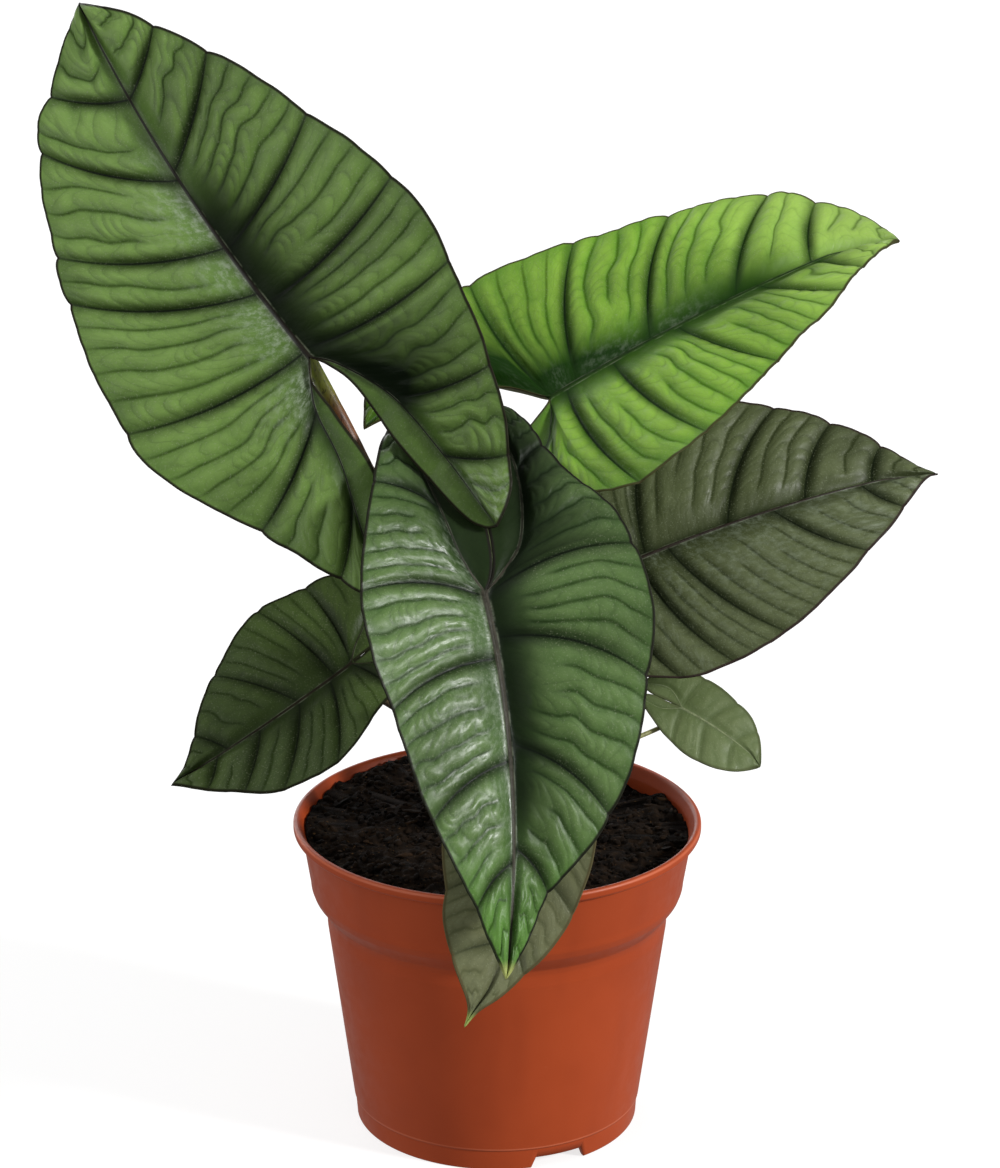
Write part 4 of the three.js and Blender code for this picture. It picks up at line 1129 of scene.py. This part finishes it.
def petiole_mesh(leaf):
    _, _, out = leaf_frame(leaf)
    base = leaf["base"]
    angle = math.radians(base["angle"])
    outward = np.array([math.cos(angle), math.sin(angle), 0])
    foot = outward * PETIOLE_RING + np.array([0, 0, CROWN_TOP - PETIOLE_SINK])
    end = under_midrib(leaf, float(base["under"]), PETIOLE_END_DEPTH)
    arrive = (end - foot) / np.linalg.norm(end - foot)
    arrive = arrive + out * base["bend"] + outward * base["lean"]
    arrive /= np.linalg.norm(arrive)
    first = foot + outward * base["rise"] * 0.12 + np.array([0, 0, base["rise"]])
    last = end - arrive * 0.3 * np.linalg.norm(end - foot)
    share = np.linspace(0, 1, PETIOLE_RINGS + 1)
    centres = bezier((foot, first, last, end), share)
    target, beyond = (under_midrib(leaf, base["under"] + reach, PETIOLE_TAIL_DEPTH)
                      for reach in (PETIOLE_TAIL, PETIOLE_TAIL + 1.0))
    pull = 0.7 * np.linalg.norm(target - end)
    tail_share = np.linspace(0, 1, PETIOLE_TAIL_RINGS + 1)[1:]
    tail = bezier((end, end + arrive * pull * 0.15, target - (beyond - target) * pull, target), tail_share)
    centres = np.vstack([centres, tail])
    tangents = np.gradient(centres, axis=0)
    tangents /= np.linalg.norm(tangents, axis=1, keepdims=True)
    across = np.cross(tangents, outward)
    across /= np.linalg.norm(across, axis=1, keepdims=True)
    back = np.cross(tangents, across)
    size = base["neck"] + (base["radius"] - base["neck"]) * (1 - share) ** 2.2
    size = size * (1 + 0.12 * smoothstep(share, 0.95, 1))
    narrowing = 1 - (1 - PETIOLE_TAIL_RADIUS / size[-1]) * smoothstep(tail_share, 0, 0.6)
    size = np.concatenate([size, size[-1] * narrowing])
    share = np.concatenate([share, np.ones(PETIOLE_TAIL_RINGS)])
    turn = np.linspace(0, 2 * math.pi, PETIOLE_SIDES, endpoint=False)
    bumps = 1 + 0.02 * wander(share[:, None] * 40, turn[None, :] * 1.9, int(leaf["name"][-1]))
    sheath = (1 - smoothstep(share, 0.16, 0.42))[:, None]
    from_inside = np.abs(np.mod(turn - math.pi / 2, 2 * math.pi) - math.pi) - math.pi
    inner = np.exp(-(from_inside / 0.5) ** 2)[None, :]
    profile = size[:, None] * bumps * (1 - 0.3 * sheath * inner)
    points = (centres[:, None, :] + profile[:, :, None] * (np.cos(turn)[None, :, None] * across[:, None, :]
              + np.sin(turn)[None, :, None] * back[:, None, :]))
    rings, sides = profile.shape
    place = np.arange(rings * sides).reshape(rings, sides)
    following = np.roll(place, -1, axis=1)
    quads = np.stack([place[:-1], following[:-1], following[1:], place[1:]], -1).reshape(-1, 4)
    faces = [*quads.tolist(), place[0, ::-1].tolist(), place[-1].tolist()]
    mesh = new_mesh(leaf["name"] + "_petiole", points.reshape(-1, 3), faces)
    layer = mesh.attributes.new("height", "FLOAT", "POINT")
    layer.data.foreach_set("value", np.repeat(share, sides).astype(np.float32))
    return mesh


# Colours of each stalk at its foot, along its middle and at its top
PETIOLE_LOOKS = {
    "leaf_1": ((92, 92, 44), (116, 72, 46), (140, 148, 56)),
    "leaf_2": ((84, 92, 42), (70, 66, 42), (74, 96, 40)),
    "leaf_3": ((80, 84, 44), (74, 72, 44), (64, 74, 42)),
    "leaf_4": ((84, 84, 46), (84, 72, 48), (86, 84, 52)),
    "leaf_5": ((84, 84, 46), (84, 72, 48), (80, 80, 48)),
    "leaf_6": ((120, 122, 66), (136, 136, 84), (132, 136, 84)),
    "leaf_7": ((84, 84, 46), (84, 74, 50), (86, 84, 56)),
}


def petiole_material(leaf):
    foot, middle, top = (linear(*colour) for colour in PETIOLE_LOOKS[leaf["name"]])
    shade = Shade(leaf["name"] + "_stalk", 0.42, 0.5)
    place = shade.place()
    wobble = shade.math("MULTIPLY", shade.noise(place, 60, 2), 0.06)
    height = shade.math("ADD", shade.attribute("height"), wobble)
    colour = shade.mix(shade.ease(height, 0.05, 0.35), foot, middle)
    colour = shade.mix(shade.ease(height, 0.86, 0.95), colour, top)
    streaks = shade.noise(shade.stretch(place, 1, 1, 0.12), 700, 3)
    colour = shade.tint(colour, streaks, 0.42, 0.7, 0.45, (58, 44, 30))
    specks = shade.noise(shade.stretch(place, 1, 1, 0.35), 1500, 2)
    colour = shade.tint(colour, specks, 0.58, 0.68, 0.75, (40, 28, 22))
    return shade.finish(colour, None, shade.bump(streaks, 0.25, 0.0003))


def add_petioles():
    for leaf in LEAVES:
        node = leaf["name"] + "_petiole"
        add_piece(node + "_skin", petiole_mesh(leaf), [petiole_material(leaf)], [node])


# Pot: one moulded shell with rounded edges, notches in the foot ring and holes in the floor

POT_SIDES = 192
POT_ROUNDING = 0.5
ROUNDING_STEPS = 4
NOTCH_DEPTH = 12
HOLE_SIDES = 32


def rounded(points, radius):
    """A profile with each inner corner replaced by a short curve."""
    points = [np.array(point, float) for point in points]
    smooth = [points[0]]
    for before, corner, after in zip(points, points[1:], points[2:]):
        back = before - corner
        ahead = after - corner
        reach = min(radius, 0.45 * np.linalg.norm(back), 0.45 * np.linalg.norm(ahead))
        start = corner + back / np.linalg.norm(back) * reach
        end = corner + ahead / np.linalg.norm(ahead) * reach
        for step in range(ROUNDING_STEPS + 1):
            t = step / ROUNDING_STEPS
            smooth.append((1 - t) ** 2 * start + 2 * t * (1 - t) * corner + t ** 2 * end)
    smooth.append(points[-1])
    return smooth


def body_radius(height):
    rise = (height - FOOT_CREASE_HEIGHT) / (BODY_TOP_HEIGHT - FOOT_CREASE_HEIGHT)
    return (FOOT_RADIUS + 2 * FOOT_CREASE_STEP) * (1 - rise) + BODY_TOP_RADIUS * rise


def collar_radius(height):
    rise = (height - COLLAR_FOOT_HEIGHT) / (POT_HEIGHT - LIP_HEIGHT - LIP_EDGE - COLLAR_FOOT_HEIGHT)
    return COLLAR_FOOT_RADIUS * (1 - rise) + COLLAR_TOP_RADIUS * rise


def inner_wall(inset, top):
    """Radius and height down the inside of the pot's wall, or a line further in."""
    step = [(BODY_TOP_RADIUS + out - inset, height) for height, out in reversed(COLLAR_STEP)]
    return [(collar_radius(top) - inset, top), (COLLAR_FOOT_RADIUS - inset, COLLAR_FOOT_HEIGHT), *step,
            (BODY_TOP_RADIUS - inset, BODY_TOP_HEIGHT)]


def lathe(name, outline, sides):
    """A closed body turned about the pot's axis. The outline starts and ends on the axis."""
    turn = np.linspace(0, 2 * math.pi, sides, endpoint=False)
    radii = np.array([point[0] for point in outline[1:-1]])
    heights = np.array([point[1] for point in outline[1:-1]])
    ring = np.stack([np.outer(radii, np.cos(turn)), np.outer(radii, np.sin(turn)),
                     np.repeat(heights[:, None], sides, 1)], -1)
    points = np.vstack([ring.reshape(-1, 3), [[0, 0, outline[0][1]], [0, 0, outline[-1][1]]]])
    place = np.arange(len(radii) * sides).reshape(len(radii), sides)
    following = np.roll(place, -1, axis=1)
    quads = np.stack([place[:-1], following[:-1], following[1:], place[1:]], -1).reshape(-1, 4).tolist()
    first, last = len(points) - 2, len(points) - 1
    caps = [[first, b, a] for a, b in zip(place[0], following[0])]
    caps += [[last, a, b] for a, b in zip(place[-1], following[-1])]
    return new_mesh(name, points, quads + [[int(i) for i in face] for face in caps])


def pot_outline():
    lip_foot = POT_HEIGHT - LIP_HEIGHT
    inner_floor = FLOOR_UNDERSIDE + POT_FLOOR
    ring = FOOT_RADIUS - FOOT_RING_WIDTH
    return [
        (0, FLOOR_UNDERSIDE),
        (ring, FLOOR_UNDERSIDE),
        (ring, 0),
        (FOOT_RADIUS, 0),
        (FOOT_RADIUS + FOOT_CREASE_STEP, FOOT_CREASE_HEIGHT - FOOT_CREASE_STEP),
        (body_radius(FOOT_CREASE_HEIGHT), FOOT_CREASE_HEIGHT),
        (BODY_TOP_RADIUS, BODY_TOP_HEIGHT),
        *[(BODY_TOP_RADIUS + out, height) for height, out in COLLAR_STEP],
        (COLLAR_FOOT_RADIUS, COLLAR_FOOT_HEIGHT),
        (COLLAR_TOP_RADIUS, lip_foot - LIP_EDGE),
        (LIP_RADIUS - LIP_EDGE, lip_foot),
        (LIP_RADIUS, lip_foot + LIP_EDGE),
        (LIP_RADIUS, POT_HEIGHT - LIP_EDGE),
        (LIP_RADIUS - LIP_EDGE, POT_HEIGHT),
        (LIP_RADIUS - LIP_WIDTH + LIP_EDGE, POT_HEIGHT),
        (LIP_RADIUS - LIP_WIDTH, POT_HEIGHT - LIP_EDGE),
        *inner_wall(POT_WALL, lip_foot - LIP_EDGE),
        (body_radius(inner_floor) - POT_WALL, inner_floor),
        (0, inner_floor),
    ]


def prism_faces(count):
    """Faces of a prism whose two ends have that many corners each."""
    faces = [list(range(count))[::-1], list(range(count, 2 * count))]
    return faces + [[n, (n + 1) % count, count + (n + 1) % count, count + n] for n in range(count)]


def cutter(corners, depth, turn_degrees, start):
    """A prism of a flat outline (across, up), cut radially into the foot ring at an angle."""
    turn = math.radians(turn_degrees)
    radial = np.array([math.cos(turn), math.sin(turn), 0])
    across = np.array([-math.sin(turn), math.cos(turn), 0])
    layers = [[radial * reach + across * a + np.array([0, 0, z]) for a, z in corners]
              for reach in (start, start + depth)]
    return np.array(layers[0] + layers[1]), prism_faces(len(corners))


def cut(piece, shapes):
    """Takes closed shapes away from a piece."""
    vertices, faces = [], []
    for points, sides in shapes:
        faces += [[len(vertices) + corner for corner in side] for side in sides]
        vertices += (points * MM + AXIS).tolist()
    mesh = bpy.data.meshes.new("cutters")
    mesh.from_pydata(vertices, [], faces)
    tool = bpy.data.objects.new("cutters", mesh)
    bpy.context.scene.collection.objects.link(tool)
    modifier = piece.modifiers.new("cut", "BOOLEAN")
    modifier.operation = "DIFFERENCE"
    modifier.solver = "EXACT"
    modifier.object = tool
    bpy.context.view_layer.update()
    cut_piece = piece.evaluated_get(bpy.context.evaluated_depsgraph_get())
    cut_mesh = bpy.data.meshes.new_from_object(cut_piece)
    piece.modifiers.clear()
    piece.data = cut_mesh
    bpy.data.objects.remove(tool)


def pot_material():
    shade = Shade("pot_plastic", 0.42, 0.2)
    place = shade.place()
    cloud = shade.noise(place, 22, 3)
    colour = shade.between(cloud, 0.3, 0.7, (154, 61, 26), (164, 67, 30))
    flow = shade.noise(shade.stretch(place, 1, 1, 0.15), 60, 2)
    colour = shade.tint(colour, flow, 0.5, 0.8, 0.25, (134, 51, 23))
    scuffs = shade.noise(shade.stretch(place, 1, 1, 3.5), 260, 4, 0.7)
    colour = shade.tint(colour, scuffs, 0.62, 0.75, 0.18, (172, 84, 52))

    # The lip's edge and the foot crease get a pale painted highlight
    height = shade.node("ShaderNodeSeparateXYZ", Vector=place).outputs["Z"]
    level = shade.vector("MULTIPLY", shade.vector("SUBTRACT", place, i1=tuple(AXIS)), i1=(1, 1, 0))
    radius = shade.vector("LENGTH", level, "Value")
    outer = shade.ease(radius, (LIP_RADIUS - LIP_EDGE) * MM, (LIP_RADIUS - LIP_EDGE / 3) * MM)
    upper = shade.ease(height, (POT_HEIGHT - 1.1) * MM, (POT_HEIGHT - 0.5) * MM, 0, 0.5)
    lip = shade.math("MULTIPLY", outer, upper)
    from_crease = shade.math("ABSOLUTE", shade.math("SUBTRACT", height, (FOOT_CREASE_HEIGHT + 0.25) * MM))
    crease = shade.ease(from_crease, 0.1 * MM, 0.4 * MM, 0.5, 0)
    painted_highlight = shade.math("MULTIPLY", shade.math("MAXIMUM", lip, crease), shade.ease(cloud, 0.3, 0.6, 0.5, 1))
    colour = shade.mix(painted_highlight, colour, linear(206, 116, 84))
    rough = shade.ease(shade.noise(place, 180, 3), 0.3, 0.7, 0.36, 0.48)
    normal = shade.bump(shade.noise(place, 1600, 2), 0.12, 0.00012)
    normal = shade.bump(shade.noise(place, 70, 2), 0.12, 0.0006, normal)
    return shade.finish(colour, rough, normal)


def hole_cutter(turn_degrees):
    """A round plug through the pot's floor."""
    turn = math.radians(turn_degrees)
    middle = np.array([math.cos(turn), math.sin(turn), 0]) * DRAIN_HOLE_RING
    around = np.linspace(0, 2 * math.pi, HOLE_SIDES, endpoint=False)
    rim = np.stack([np.cos(around), np.sin(around), 0 * around], 1) * DRAIN_HOLE_RADIUS + middle
    low = rim + np.array([0, 0, FLOOR_UNDERSIDE - 1])
    high = rim + np.array([0, 0, FLOOR_UNDERSIDE + POT_FLOOR + 1])
    return np.vstack([low, high]), prism_faces(HOLE_SIDES)


def add_pot():
    mesh = lathe("pot_shell", rounded(pot_outline(), POT_ROUNDING), POT_SIDES)
    piece = add_piece("pot_shell", mesh, [pot_material()], ["pot"])
    reach = FOOT_RADIUS + 4
    bottom = reach * math.tan(math.radians(NOTCH_BOTTOM_ANGLE / 2))
    top = reach * math.tan(math.radians(NOTCH_TOP_ANGLE / 2))
    trapezoid = [(-bottom, -1), (bottom, -1), (top, NOTCH_HEIGHT), (-top, NOTCH_HEIGHT)]
    notch_angles = [NOTCH_FIRST_ANGLE + n * 360 / NOTCH_COUNT for n in range(NOTCH_COUNT)]
    hole_angles = [DRAIN_HOLE_FIRST_ANGLE + n * 360 / DRAIN_HOLE_COUNT for n in range(DRAIN_HOLE_COUNT)]
    shapes = [cutter(trapezoid, NOTCH_DEPTH, angle, reach - NOTCH_DEPTH) for angle in notch_angles]
    cut(piece, shapes + [hole_cutter(angle) for angle in hole_angles])


# Soil: a crumbly top over a plain body, with loose crumbs and bark lying on it

def soil_height(x, y):
    coarse = np.sin(0.21 * x + 1.3) * np.cos(0.17 * y - 0.4)
    fine = np.sin(0.63 * x - 0.52 * y) * np.cos(0.41 * x + 0.71 * y + 2)
    turn = math.radians(SOIL_HIGH_SIDE)
    high = x * math.cos(turn) + y * math.sin(turn)
    dip = np.exp(-((x - SOIL_DIP["x"]) ** 2 + (y - SOIL_DIP["y"]) ** 2) / SOIL_DIP["radius"] ** 2)
    return (SOIL_LEVEL + SOIL_RELIEF * (0.6 * coarse + 0.5 * fine) + SOIL_SLOPE * high
            - SOIL_DIP["depth"] * dip)


def crumb_height(x, y):
    rough = 0.75 * wander(x / 2.6, y / 2.6, 31) + 0.5 * wander(x / 1.3, y / 1.3, 32)
    return soil_height(x, y) + 0.9 * (rough + 0.9 * wander(x / 6, y / 6, 33))


SOIL_RINGS = 150
SOIL_SIDES = 360


def soil_mesh():
    gap = POT_WALL + 0.1
    rim = collar_radius(SOIL_LEVEL) - gap
    radii = np.linspace(rim / SOIL_RINGS, rim, SOIL_RINGS)
    turn = np.linspace(0, 2 * math.pi, SOIL_SIDES, endpoint=False)
    x, y = np.outer(radii, np.cos(turn)), np.outer(radii, np.sin(turn))
    z = crumb_height(x, y)
    top = np.stack([x, y, z], -1)[::-1]
    wall = [(radius, height) for radius, height in inner_wall(gap, SOIL_LEVEL - 6)]
    floor = FLOOR_UNDERSIDE + POT_FLOOR + 0.1
    wall += [(body_radius(floor) - gap, floor)]
    rings = [np.stack([r * np.cos(turn), r * np.sin(turn), 0 * turn + h], -1) for r, h in wall]
    points = np.concatenate([top, np.array(rings)])
    count, sides, _ = points.shape
    flat = np.vstack([points.reshape(-1, 3), [[0, 0, float(crumb_height(0, 0))], [0, 0, floor]]])
    place = np.arange(count * sides).reshape(count, sides)
    following = np.roll(place, -1, axis=1)
    quads = np.stack([place[:-1], place[1:], following[1:], following[:-1]], -1)
    quads = quads.reshape(-1, 4).tolist()
    caps = [[len(flat) - 2, int(a), int(b)] for a, b in zip(place[0], following[0])]
    caps += [[len(flat) - 1, int(b), int(a)] for a, b in zip(place[-1], following[-1])]
    return new_mesh("soil_body", flat, quads + caps)


def lumps(name, count, seed, size, squash, spread, smooth=True):
    """Many small irregular bodies, strewn over the soil by a seeded draw and joined in one mesh."""
    draw = np.random.default_rng(seed)
    pattern = bmesh.new()
    bmesh.ops.create_icosphere(pattern, subdivisions=1, radius=1)
    shape = np.array([vertex.co for vertex in pattern.verts])
    triangles = np.array([[vertex.index for vertex in face.verts] for face in pattern.faces])
    pattern.free()
    vertices, faces, tints = [], [], []
    for n in range(count):
        radius = spread * math.sqrt(draw.uniform(0.03, 1))
        turn = draw.uniform(0, 2 * math.pi)
        x, y = radius * math.cos(turn), radius * math.sin(turn)
        scale = draw.uniform(*size) * np.array([draw.uniform(*limits) for limits in squash])
        angles = draw.uniform(-0.5, 0.5, 2)
        rotation = Matrix.Rotation(draw.uniform(0, 2 * math.pi), 3, "Z")
        rotation = rotation @ Matrix.Rotation(angles[0], 3, "X") @ Matrix.Rotation(angles[1], 3, "Y")
        lump = shape * (1 + draw.uniform(-0.28, 0.28, (len(shape), 1))) * scale
        lump = lump @ np.array(rotation).T
        height = float(crumb_height(x, y)) + 0.35 * float(scale.min())
        vertices.append(lump + np.array([x, y, height]))
        faces.append(triangles + n * len(shape))
        tints.append(np.full(len(shape), draw.uniform()))
    mesh = new_mesh(name, np.vstack(vertices), np.vstack(faces).tolist(), smooth)
    layer = mesh.attributes.new("tint", "FLOAT", "POINT")
    layer.data.foreach_set("value", np.concatenate(tints).astype(np.float32))
    return mesh


def soil_material():
    shade = Shade("potting_mix", 0.9, 0.08)
    place = shade.place()
    colour = shade.between(shade.noise(place, 300, 5, 0.65), 0.35, 0.7, (14, 9, 6), (34, 24, 15))
    colour = shade.tint(colour, shade.noise(place, 900, 2), 0.64, 0.72, 0.7, (84, 62, 36))
    return shade.finish(colour, None, shade.bump(shade.noise(place, 1200, 4, 0.7), 0.8, 0.0008))


def crumb_material(name, dark, light, rough):
    shade = Shade(name, rough, 0.08)
    place = shade.place()
    tone = shade.math("ADD", shade.math("MULTIPLY", shade.attribute("tint"), 0.7),
                      shade.math("MULTIPLY", shade.noise(place, 800, 3), 0.4))
    colour = shade.between(tone, 0.2, 0.95, dark, light)
    return shade.finish(colour, None, shade.bump(shade.noise(place, 2000, 3), 0.6, 0.0004))


CRUMBS = {"count": 1500, "seed": 5, "size": (0.4, 1.3), "squash": ((0.8, 1.3), (0.7, 1.1), (0.5, 0.9))}
BARK = {"count": 110, "seed": 6, "size": (0.5, 1.5), "squash": ((1.3, 2.4), (0.5, 0.9), (0.25, 0.5))}


def add_soil():
    spread = collar_radius(SOIL_LEVEL) - POT_WALL - 1.6
    add_piece("soil_body", soil_mesh(), [soil_material()], ["soil"])
    crumbs = lumps("soil_crumbs", spread=spread, **CRUMBS)
    peat = crumb_material("peat_crumbs", (9, 6, 4), (30, 21, 13), 0.9)
    add_piece("soil_crumbs", crumbs, [peat], [])
    bits = lumps("bark_bits", spread=spread, smooth=False, **BARK)
    bark = crumb_material("bark", (13, 9, 6), (46, 32, 19), 0.8)
    add_piece("bark_bits", bits, [bark], [])


# Crown: the short stem, ringed with the scars of old leaves

def crown_mesh():
    outline = [(0, SOIL_LEVEL - 9), (CROWN_NECK_RADIUS - 1, SOIL_LEVEL - 9)]
    heights = np.linspace(SOIL_LEVEL - 8, CROWN_TOP - 0.6, 40)
    for height in heights:
        rise = smoothstep(height, SOIL_LEVEL, CROWN_TOP)
        radius = CROWN_NECK_RADIUS + (CROWN_TOP_RADIUS - 0.6 - CROWN_NECK_RADIUS) * rise
        outline.append((radius + 0.3 * math.sin(2.1 * height), height))
    outline += [(CROWN_TOP_RADIUS - 1.8, CROWN_TOP), (0, CROWN_TOP + 0.6)]
    mesh = lathe("crown_stem", outline, 96)
    points = np.array([vertex.co for vertex in mesh.vertices])
    local = (points - AXIS) / MM
    turn = np.arctan2(local[:, 1], local[:, 0])
    radius = np.hypot(local[:, 0], local[:, 1])
    shift = 0.35 * wander(turn * 3, local[:, 2] * 0.7, 41) + 0.2 * wander(turn * 11, local[:, 2] * 1.5, 42)
    local[:, :2] *= (1 + shift / np.maximum(radius, 4))[:, None]
    mesh.vertices.foreach_set("co", (local * MM + AXIS).ravel())
    return mesh


def crown_material():
    shade = Shade("crown_skin", 0.65, 0.3)
    place = shade.place()
    bands = shade.noise(shade.stretch(place, 0.5, 0.5, 2.4), 260, 3)
    colour = shade.between(bands, 0.3, 0.7, (62, 44, 30), (118, 96, 60))
    colour = shade.tint(colour, shade.noise(place, 700, 3), 0.5, 0.75, 0.6, (36, 26, 20))
    return shade.finish(colour, None, shade.bump(bands, 0.5, 0.0006))


def add_crown():
    add_piece("crown_stem", crown_mesh(), [crown_material()], ["crown"])


# Floor, light and camera

# The floor glows, so that it comes out white, but sheds no light on the plant. Its reach is in metres.
FLOOR_REACH = 4.0
FLOOR_GLOW = 0.76
WORLD_STRENGTH = 0.33

# Suns: the direction to each of them, its strength, and how wide it looks in degrees
SUNS = {
    "key": ((0.85, -0.38, 0.46), 3.5, 10),
    "top": ((-0.3, -0.1, 1), 0.6, 60),
    "left": ((-0.85, -0.5, 0.25), 0.98, 50),
    "back": ((-0.4, 0.9, 0.3), 1.3, 50),
}


def add_stage():
    scene = bpy.context.scene
    scene.view_settings.view_transform = "Standard"
    mesh = bpy.data.meshes.new("floor")
    corners = [(-FLOOR_REACH, -FLOOR_REACH, 0), (FLOOR_REACH, -FLOOR_REACH, 0),
               (FLOOR_REACH, FLOOR_REACH, 0), (-FLOOR_REACH, FLOOR_REACH, 0)]
    mesh.from_pydata(corners, [], [[0, 1, 2, 3]])
    floor = bpy.data.objects.new("floor", mesh)
    scene.collection.objects.link(floor)
    shade = Shade("floor_paint", 0.9, 0.1)
    soft = shade.noise(shade.place(), 3, 2)
    shade.shader.inputs["Emission Color"].default_value = (1, 1, 1, 1)
    shade.shader.inputs["Emission Strength"].default_value = FLOOR_GLOW
    paint = shade.mix(soft, linear(150, 150, 150), linear(154, 154, 154))
    mesh.materials.append(shade.finish(paint))
    floor.visible_diffuse = False
    floor.visible_glossy = False
    world = bpy.data.worlds.new("studio")
    world.use_nodes = True
    world.node_tree.nodes["Background"].inputs["Color"].default_value = (1, 1, 1, 1)
    world.node_tree.nodes["Background"].inputs["Strength"].default_value = WORLD_STRENGTH
    scene.world = world


def add_sun(name, toward, strength, width):
    data = bpy.data.lights.new(name, "SUN")
    data.energy = strength
    data.angle = math.radians(width)
    light = bpy.data.objects.new(name, data)
    light.rotation_euler = Vector(toward).to_track_quat("Z", "Y").to_euler()
    bpy.context.scene.collection.objects.link(light)


# The photograph's camera: its height angle, distance and focal length, fitted to the pot's ellipses
CAMERA_ELEVATION = 19.6
CAMERA_DISTANCE = 1200
CAMERA_TARGET = (0.55, 0, 167)
CAMERA_ROLL = 0.2
PHOTO_HEIGHT = 1168
FOCAL_PIXELS = 4160
SENSOR = 36


def add_camera():
    rise = math.radians(CAMERA_ELEVATION)
    roll = math.radians(CAMERA_ROLL)
    forward = Vector((0, math.cos(rise), -math.sin(rise)))
    level = Vector((1, 0, 0))
    up = level.cross(forward)
    right_axis = level * math.cos(roll) + up * math.sin(roll)
    up_axis = up * math.cos(roll) - level * math.sin(roll)
    place = Vector(CAMERA_TARGET) * MM + Vector(AXIS) - forward * CAMERA_DISTANCE * MM
    data = bpy.data.cameras.new("camera")
    data.sensor_fit = "VERTICAL"
    data.sensor_height = SENSOR
    data.lens = FOCAL_PIXELS * SENSOR / PHOTO_HEIGHT
    data.clip_start = 0.05
    camera = bpy.data.objects.new("camera", data)
    camera.matrix_world = Matrix((
        (right_axis.x, up_axis.x, -forward.x, place.x),
        (right_axis.y, up_axis.y, -forward.y, place.y),
        (right_axis.z, up_axis.z, -forward.z, place.z),
        (0, 0, 0, 1),
    ))
    bpy.context.scene.collection.objects.link(camera)
    bpy.context.scene.camera = camera


add_stage()
for sun_name, sun in SUNS.items():
    add_sun(sun_name, *sun)
add_camera()
add_pot()
add_soil()
add_crown()
add_petioles()
add_blades()
